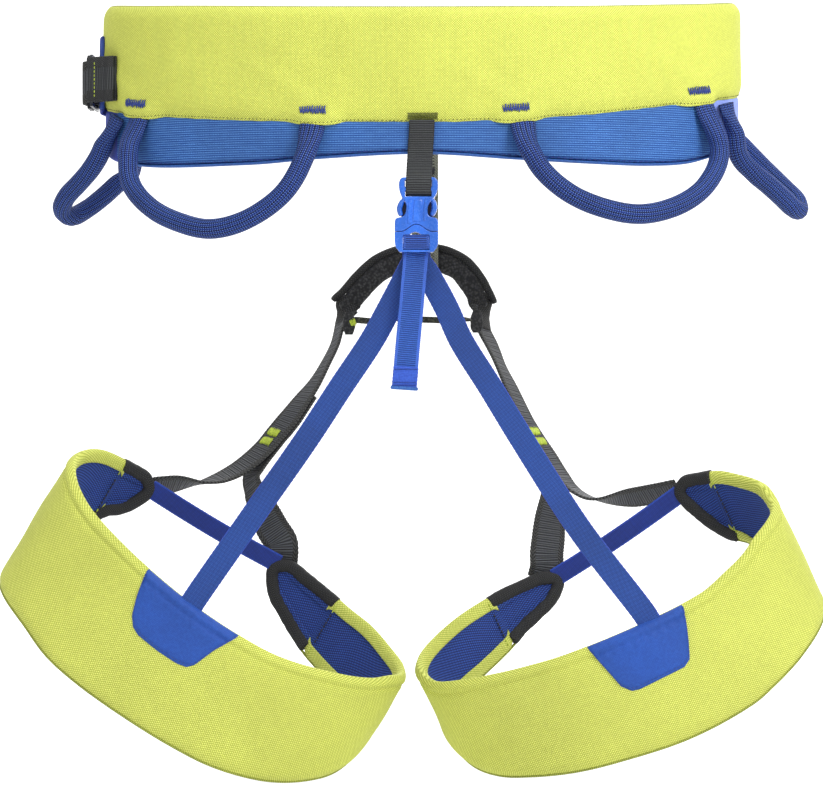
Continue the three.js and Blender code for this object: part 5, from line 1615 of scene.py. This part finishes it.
def arch_neck(word, rows):
    """A small wing under one end of the arch."""
    places, tangents, marks, turns = follow(rows, 0.6)
    across, out = frames(tangents, turns)
    rings = []
    for i, spot in enumerate(places):
        u = marks[i] / marks[-1]
        half_width = 7.2 + 3.4 * u
        half_thick = 2.9 - 1.0 * u
        ring = []
        for t in circle(26):
            lump = 1 + 0.1 * wander(spot + np.array((math.cos(t), math.sin(t), 0)) * 5, 3.2, 4.4)
            flank = across[i] * math.cos(t) * half_width
            ring.append(spot + (flank + out[i] * math.sin(t) * half_thick) * lump)
        rings.append(ring)
    rings = rounded_ends(rings, (tangents[0], tangents[-1]), 1.0)
    piece = grid(f"arch_neck_{word}", rings, np.linspace(0, 40, 27), rounded_marks(marks), rim_black)
    place(piece, "harness", "black_binding")


arch()
arch_neck("left", [
    (-43.4, front_y, -114.5, 0), (-45.2, front_y, -119, -24), (-46.6, front_y - 0.2, -124, -56),
    (-48, front_y - 0.8, -129, -70), (-49.2, front_y - 2, -134, -75),
])
arch_neck("right", [
    (34.2, front_y, -113.5, 0), (36, front_y, -118, 26), (36.7, front_y - 0.2, -123, 58),
    (37.3, front_y - 0.9, -128, 68), (38.2, front_y - 2.2, -133, 70),
])


def upper_tie_in():
    y = front_y + 1.7
    x = 2
    rows = [(-24, y, 14), (-22, y, 0), (-14, y, -14), (x, y, -21), (18, y, -14), (26, y, 0), (28, y, 14)]
    piece = tape(
        "upper_tie_in_web", rows, tie_in_width, tie_in_thick, speckled_web, step=0.6, rib=1.9, rib_depth=0.2)
    place(piece, "harness", "grey_webbing", "tie_in_upper")
    segments = []
    for i, spot in enumerate(((-24, y - 1.9, 9), (28, y - 1.9, 9))):
        for side in (-1, 1):
            centre = np.array((spot[0], y + side * 1.75, spot[2]), float)
            segments += tack(centre, right, up, forward * side, 10, 5, 40 + i)
    place(stitches("upper_tie_in_tacks", segments, tack_radius, dark_thread), "harness", "grey_webbing")


upper_tie_in()


belay_x = 2
belay_width = 16
belay_thick = 4
belay_bend = 5.9
belay_top = -9.6 - belay_bend
belay_bottom = -90.2 - 8 - gap * 2 + belay_bend


def belay():
    radius = belay_bend + belay_thick / 2
    rows = []
    for start, side, z, other in ((0, -1, belay_top, belay_bottom), (180, 1, belay_bottom, belay_top)):
        for i in range(11):
            turn = math.radians(start + 18 * i)
            rows.append((belay_x, front_y + math.cos(turn) * radius, z + math.sin(turn) * radius))
        for i in range(1, 8):
            rows.append((belay_x, front_y + side * radius, z + (other - z) * i / 8))
    places, tangents, marks, _ = follow(rows + rows[:1], 0.6)
    out = np.array([unit(np.cross(right, t)) for t in tangents])
    across = np.tile(right, (len(places), 1))
    rings = tape_rings(
        places, across, out, marks, belay_width, belay_thick, rib=1.9, rib_depth=0.2, border=0.7)
    piece = grid("belay_loop_web", rings, tape_columns(belay_width), marks, speckled_web)
    place(piece, "belay", "grey_webbing", "belay_loop")
    segments = []
    for i, z in enumerate((-38, -52, -66)):
        for side in (-1, 1):
            centre = np.array((belay_x, front_y + side * (radius + 2.15), z), float)
            segments += tack(centre, right, up, forward * side, 11, 4.5, 20 + i)
    place(stitches("belay_loop_tacks", segments, 0.38, dark_thread), "belay", "grey_webbing")


belay()

risers = {
    "left": {
        "start": arch_rows[0], "drop": 2.1, "lift": 6,
        "shares": [
            (-0.02, 0, 0.013, -60), (0.018, 0.06, 0.082, -74), (0.054, 0.13, 0.204, -76),
            (0.106, 0.21, 0.314, -75), (0.166, 0.29, 0.423, -70), (0.243, 0.37, 0.531, -62),
            (0.308, 0.44, 0.623, -56), (0.379, 0.5, 0.713, -56), (0.439, 0.56, 0.787, -58),
            (0.509, 0.62, 0.854, -60), (0.592, 0.68, 0.916, -64), (0.696, 0.76, 0.966, -74),
            (0.773, 0.84, 0.985, -90), (0.901, 0.93, 0.99, -116), (1, 1, 1, -122),
        ],
    },
    "right": {
        "start": arch_rows[-1], "drop": 0.4, "lift": 4,
        "shares": [
            (-0.01, 0, 0.01, -118), (0.006, 0.07, 0.117, -112), (0.055, 0.15, 0.224, -110),
            (0.101, 0.23, 0.33, -106), (0.151, 0.31, 0.436, -110), (0.199, 0.4, 0.541, -112),
            (0.246, 0.48, 0.646, -116), (0.299, 0.55, 0.739, -118), (0.357, 0.62, 0.827, -118),
            (0.421, 0.7, 0.919, -112), (0.494, 0.78, 1, -102), (0.597, 0.8, 1.048, -90),
            (0.796, 0.86, 1.041, -56), (1, 1, 1, -54),
        ],
    },
}
riser_width = 20
riser_thick = 1.7
branch_drop = 50
branch_shares = {
    "left": [
        (-0.366, 0.24, 0.872, -60), (-0.338, 0.17, 0.694, -50), (-0.23, 0.1, 0.482, -26),
        (-0.108, 0.04, 0.248, -6), (-0.012, 0.01, 0.094, 0), (0, 0, 0, 0),
    ],
    "right": [
        (0.068, 0.24, 1.01, -119), (0.06, 0.17, 0.8, -130), (0.04, 0.1, 0.566, -153),
        (0.02, 0.04, 0.33, -174), (0, 0.01, 0.154, -180), (0, 0, 0, -180),
    ],
}
branch_end = {"left": -262, "right": -260}
branch_aside = {"left": -0.5, "right": -1.5}
riser_past = 4.5
riser_steps = 44


def riser_route(loop):
    facts = risers[loop.word]
    top, bottom = loop.heights(binding_tip)
    end = loop.point(binding_tip + 3.2, 1.8, (top + bottom) / 2 + facts["lift"]) + forward * 6.5
    start = np.array(facts["start"], float) - up * facts["drop"]
    span = end - start
    return [(*(start + span * np.array(row[:3])), row[3]) for row in facts["shares"]]


def riser_tape(name, rows, node):
    piece = tape(name, rows, riser_width, riser_thick, grey_web, step=0.3, rib=2.1, rib_depth=0.17)
    place(piece, "harness", "grey_webbing", node)


def riser(loop):
    route = riser_route(loop)
    last, before = np.array(route[-1][:3]), np.array(route[-2][:3])
    past = last + unit(last - before) * riser_past + forward * 0.6
    riser_tape(f"riser_{loop.word}_web", route + [(*past, route[-1][3])], f"riser_webbing_{loop.word}")
    curve = spline(route)
    turns = reader([(i, row[3]) for i, row in enumerate(route)])

    def station(step):
        u = step / (riser_steps - 1)
        along = direction(curve, u)
        turn = turns(u * (len(route) - 1))[0]
        across, out = frames([along], [turn])
        return curve(u), along, across[0], out[0], turn

    offset = -(riser_thick + gap * 1.6) * loop.side
    rows = []
    for step in range(14, 23, 2):
        spot, _, _, out, turn = station(step)
        rows.append((*(spot + out * offset), turn))
    top, _ = loop.heights(branch_end[loop.word])
    end = loop.point(branch_end[loop.word], 3, top + 2.6)
    for x, y, z, turn in branch_shares[loop.word]:
        rows.append((*(end + np.array((x, y, z)) * branch_drop), turn))
    last = np.array(rows[-1][:3])
    rows.append((*(last - up * 7 + right * branch_aside[loop.word] + forward * 1.4), rows[-1][3]))
    riser_tape(f"branch_{loop.word}_web", rows, f"inner_webbing_{loop.word}")
    segments = []
    for n, step in enumerate((21.4, 23.4)):
        spot, along, across, out, _ = station(step)
        for side in (-1, 1):
            centre = spot + out * side * (riser_thick / 2 + 0.2) - across * 1.2
            segments += tack(centre, across, along, out * side, 9.5, 5.2, 50 + n, 0.5)
    place(stitches(f"riser_{loop.word}_tacks", segments, tack_radius, lime_thread), "harness", "grey_webbing")


for loop in loops.values():
    riser(loop)


cross_y = 69.3
cross_z = -128
cross_width = 3.8
cross_thick = 1.3


def cross_elastic():
    sag = (
        (-40.4, 0, 0), (-30, -0.8, 30), (-20, -0.5, 70), (-8, 0.3, 120), (4, 0, 170),
        (16, -0.3, 200), (24, 0.3, 230), (29.6, 0, 260),
    )
    rows = [(x, cross_y, cross_z + rise, turn) for x, rise, turn in sag]
    piece = tape("cross_elastic_web", rows, cross_width, cross_thick, dark_cord, step=0.5)
    place(piece, "harness", "dark_elastic", "cross_elastic")


def elastic_tab(word, centre):
    rings = []
    for share in np.linspace(0, 1, 24):
        spot = np.array(centre) + (up * 6.8 + forward * 2.4) * (1 - 2 * share)
        size = 0.42 + 0.58 * math.sin(math.pi * clamp(share, 0.04, 0.96)) ** 0.6
        ring = []
        for t in circle(20):
            lump = 1 + 0.16 * wander(spot + np.array((math.cos(t) * 4, math.sin(t) * 4, 0)), 4, 2.0)
            flank = right * math.cos(t) * 3.9 * size * lump
            ring.append(spot + flank + forward * math.sin(t) * 2.1 * size * lump)
        rings.append(ring)
    around, along = np.linspace(0, 20, 21), np.linspace(0, 13, 24)
    piece = grid(f"elastic_tab_{word}_cloth", rings, around, along, pad_black)
    place(piece, "harness", "dark_elastic", f"elastic_tab_{word}")


cross_elastic()
elastic_tab("left", (-43.9, cross_y, -130.2))
elastic_tab("right", (33.1, cross_y, -129))
tab_tack = tack(
    np.array((-41.4, cross_y - 2.1, -129.8)), unit(right + up * 0.4), unit(up - right * 0.5), -forward,
    3.0, 4.2, 9, 0.5)
place(stitches("elastic_tab_tack", tab_tack, 0.3, lime_thread), "harness", "dark_elastic")


# The waist webbing, its buckle and the webbing that holds the buckle on the left flank.
rise = 8
waist_web_width = 25
front_web_width = 44
front_web_rise = 12
keeper_width = 25.8
keeper_thick = 1.4
stack_out = lining_thick + shell_thick + gap + webbing_thick / 2
layer = webbing_thick + gap
run_out = stack_out + layer
base_out = run_out + webbing_thick / 2 + gap
slider_out = base_out + 1.5 + gap
bar_out = slider_out + 1.1
turn_radius = bar_out - run_out


def ring_tape(name, spots, outs, width, thick, material, slot, *nodes, rib_depth=0.13):
    """A tape standing on edge round the waist: its width runs up."""
    spots, outs = np.array(spots), np.array(outs)
    marks = run_along(spots)
    fine = np.arange(0, marks[-1], 0.7)
    places = np.array([read_line(spots, marks, at) for at in fine])
    out = np.array([unit(read_line(outs, marks, at)) for at in fine])
    across = np.tile(up, (len(fine), 1))
    rings = tape_rings(places, across, out, fine, width, thick, 1.9, rib_depth, 0.76)
    place(grid(name, rings, tape_columns(width), fine, material), "harness", slot, *nodes)


def waist_webbing():
    end_out = lining_thick + webbing_thick / 2
    first = reader([
        (0, 23, end_out), (1, 45, end_out), (2, 75, end_out - 2.25), (3, 105, end_out - 2.25),
        (4, 130, end_out), (5, 142, run_out), (6, 172, run_out),
    ])
    spots, outs = [], []
    for u in np.linspace(0, 6, 120):
        angle, out = first(u)
        spots.append(belt_point(angle, out, rise))
        outs.append(belt_out(angle))
    for i in range(17):
        turn = math.radians(-90 + 180 * i / 16)
        out = np.array((-math.sin(turn), -math.cos(turn), 0))
        spots.append(np.array((-belt_half_width - bar_out, -1.2, rise)) + out * turn_radius)
        outs.append(out)
    back = reader([
        (0, 172, run_out + turn_radius * 2), (1, 162, run_out + turn_radius * 1.6), (2, 152, run_out + layer),
        (3, 146, run_out + layer), (4, 124, end_out + layer + 2),
    ])
    for u in np.linspace(0, 4, 60):
        angle, out = back(u)
        spots.append(belt_point(angle, out, rise))
        outs.append(belt_out(angle))
    thick = webbing_thick - 0.2
    slot_node = ("grey_webbing", "waist_webbing")
    ring_tape("waist_web", spots, outs, waist_web_width, thick, grey_web, *slot_node, rib_depth=0.07)
    angles = np.linspace(188, 146, 40)
    spots = [belt_point(a, stack_out, front_web_rise) for a in angles]
    outs = [belt_out(a) for a in angles]
    node = "front_webbing_left"
    width = front_web_width
    ring_tape("front_web_piece", spots, outs, width, webbing_thick, front_web, "blue_webbing", node)


waist_webbing()


def buckle_keeper():
    """Webbing through the base plate's rear slot: two layers sewn together behind the buckle."""
    width, thick = keeper_width, keeper_thick
    bar_x = -belt_half_width - base_out - 0.75
    turn_out = 0.75 + gap + thick / 2
    lower = belt_point(198.5, lining_thick + shell_thick + gap + thick / 2, rise)
    upper = belt_point(198.5, lining_thick + shell_thick + gap * 2 + thick * 1.5, rise)
    spots = [lower]
    for i in range(13):
        turn = math.pi * i / 12
        spots.append(np.array((bar_x + math.cos(turn) * turn_out, -19.5 + math.sin(turn) * turn_out, rise)))
    spots += [np.array((bar_x - turn_out, -23.5, rise)), upper]
    spots = np.array(spots)
    marks = run_along(spots)
    fine = np.arange(0, marks[-1], 0.3)
    places = np.array([read_line(spots, marks, at) for at in fine])
    rings = []
    for i, spot in enumerate(places):
        along = unit(places[min(i + 1, len(places) - 1)] - places[max(i - 1, 0)])
        out = unit(np.cross(along, up))
        left = marks[-1] - fine[i]
        ridge = 1.1 * bell(left - 3.2, 1.9) + 0.55 * bell(left - 7.6, 1.3) + 0.5 * bell(left - 13.2, 2.2)
        ring = []
        for a, b in tape_section:
            lift = max(b, 0) * ridge
            bow = 0.25 * math.sin(a * 2.2 + fine[i] * 0.3)
            ring.append(spot + up * a * width / 2 + out * (b * thick / 2 + lift) + along * bow)
        rings.append(ring)
    piece = grid("buckle_keeper_web", rings, tape_columns(width), fine, black_web)
    place(piece, "harness", "black_webbing", "buckle_keeper")
    seam = places[int(len(places) * 0.72)]
    out = unit(np.cross(places[-1] - places[-20], up))
    line = [seam + up * z + out * (thick / 2 + 0.35) for z in np.linspace(-11, 11, 20)]
    segments = stitch_line(line, [out] * 20, 1.6, 0.7)
    place(stitches("buckle_keeper_stitches", segments, 0.26, lime_thread), "harness", "black_webbing")


buckle_keeper()

for node, material in (("waist_buckle_base", base_metal), ("waist_buckle_slider", black_metal)):
    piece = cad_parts[node]
    piece.data.materials.clear()
    piece.data.materials.append(material)
    edge = piece.modifiers.new("edges", "BEVEL")
    edge.width = 0.45 * mm
    edge.segments = 3
    edge.limit_method = "ANGLE"
    edge.harden_normals = True


# Studio: a pale floor that rises far behind into a wall, glowing more towards the back as painted light, and
# soft light from above and behind the camera.
sweep_near = -2900
sweep_far = 2700
sweep_bend = 900
sweep_top = 4200
sweep_half_width = 4200


def studio():
    s = Shader("pale_paper")
    tone = s.mix(s.ramp(s.noise(300, 2.0), 0.3, 0.7), (0.86, 0.86, 0.86), (0.9, 0.9, 0.9))
    paper = s.finish(tone, 0.9)
    split = s.node("ShaderNodeSeparateXYZ")
    s.put(split.inputs[0], s.node("ShaderNodeTexCoord").outputs["Object"])
    # The paper glows more and more towards the back, up to the wall: painted light that keeps the backdrop
    # white.
    s.put(s.bsdf.inputs["Emission Color"], (1.0, 1.0, 1.0))
    s.put(s.bsdf.inputs["Emission Strength"], s.ramp(split.outputs[1], 0.3, 1.5, 0.0, 0.6))
    points = [(sweep_near, 0), (sweep_far, 0)]
    for i in range(1, 13):
        turn = math.pi / 2 * i / 12
        points.append((sweep_far + sweep_bend * math.sin(turn), sweep_bend - sweep_bend * math.cos(turn)))
    points.append((sweep_far + sweep_bend, sweep_top))
    verts, faces = [], []
    for y, z in points:
        verts += [(side * sweep_half_width, y, floor_height + z) for side in (-1, 1)]
    for i in range(len(points) - 1):
        faces.append((2 * i, 2 * i + 1, 2 * i + 3, 2 * i + 2))
    sweep = link("sweep", verts, faces, None, paper)
    world = bpy.data.worlds.new("studio")
    bpy.context.scene.world = world
    world.use_nodes = True
    world.node_tree.nodes["Background"].inputs[0].default_value = (1, 1, 1, 1)
    world.node_tree.nodes["Background"].inputs[1].default_value = 0.55
    for name, place_at, aim, size, power in (
        ("key", (960, -1080, 780), (0, 0, -100), 0.8, 18.5),
        ("fill", (-1400, -1300, 100), (0, 0, -260), 1.6, 5),
        ("top", (-100, -300, 1600), (0, 0, -100), 1.5, 15),
        ("back", (300, 1300, 500), (0, 0, -200), 1.4, 14),
    ):
        lamp = bpy.data.lights.new(name, "AREA")
        lamp.size = size
        lamp.energy = power
        light = bpy.data.objects.new(name, lamp)
        light.location = [v * mm for v in place_at]
        toward = Vector([(b - a) * mm for a, b in zip(place_at, aim)])
        light.rotation_euler = toward.to_track_quat("-Z", "Y").to_euler()
        bpy.context.scene.collection.objects.link(light)


studio()
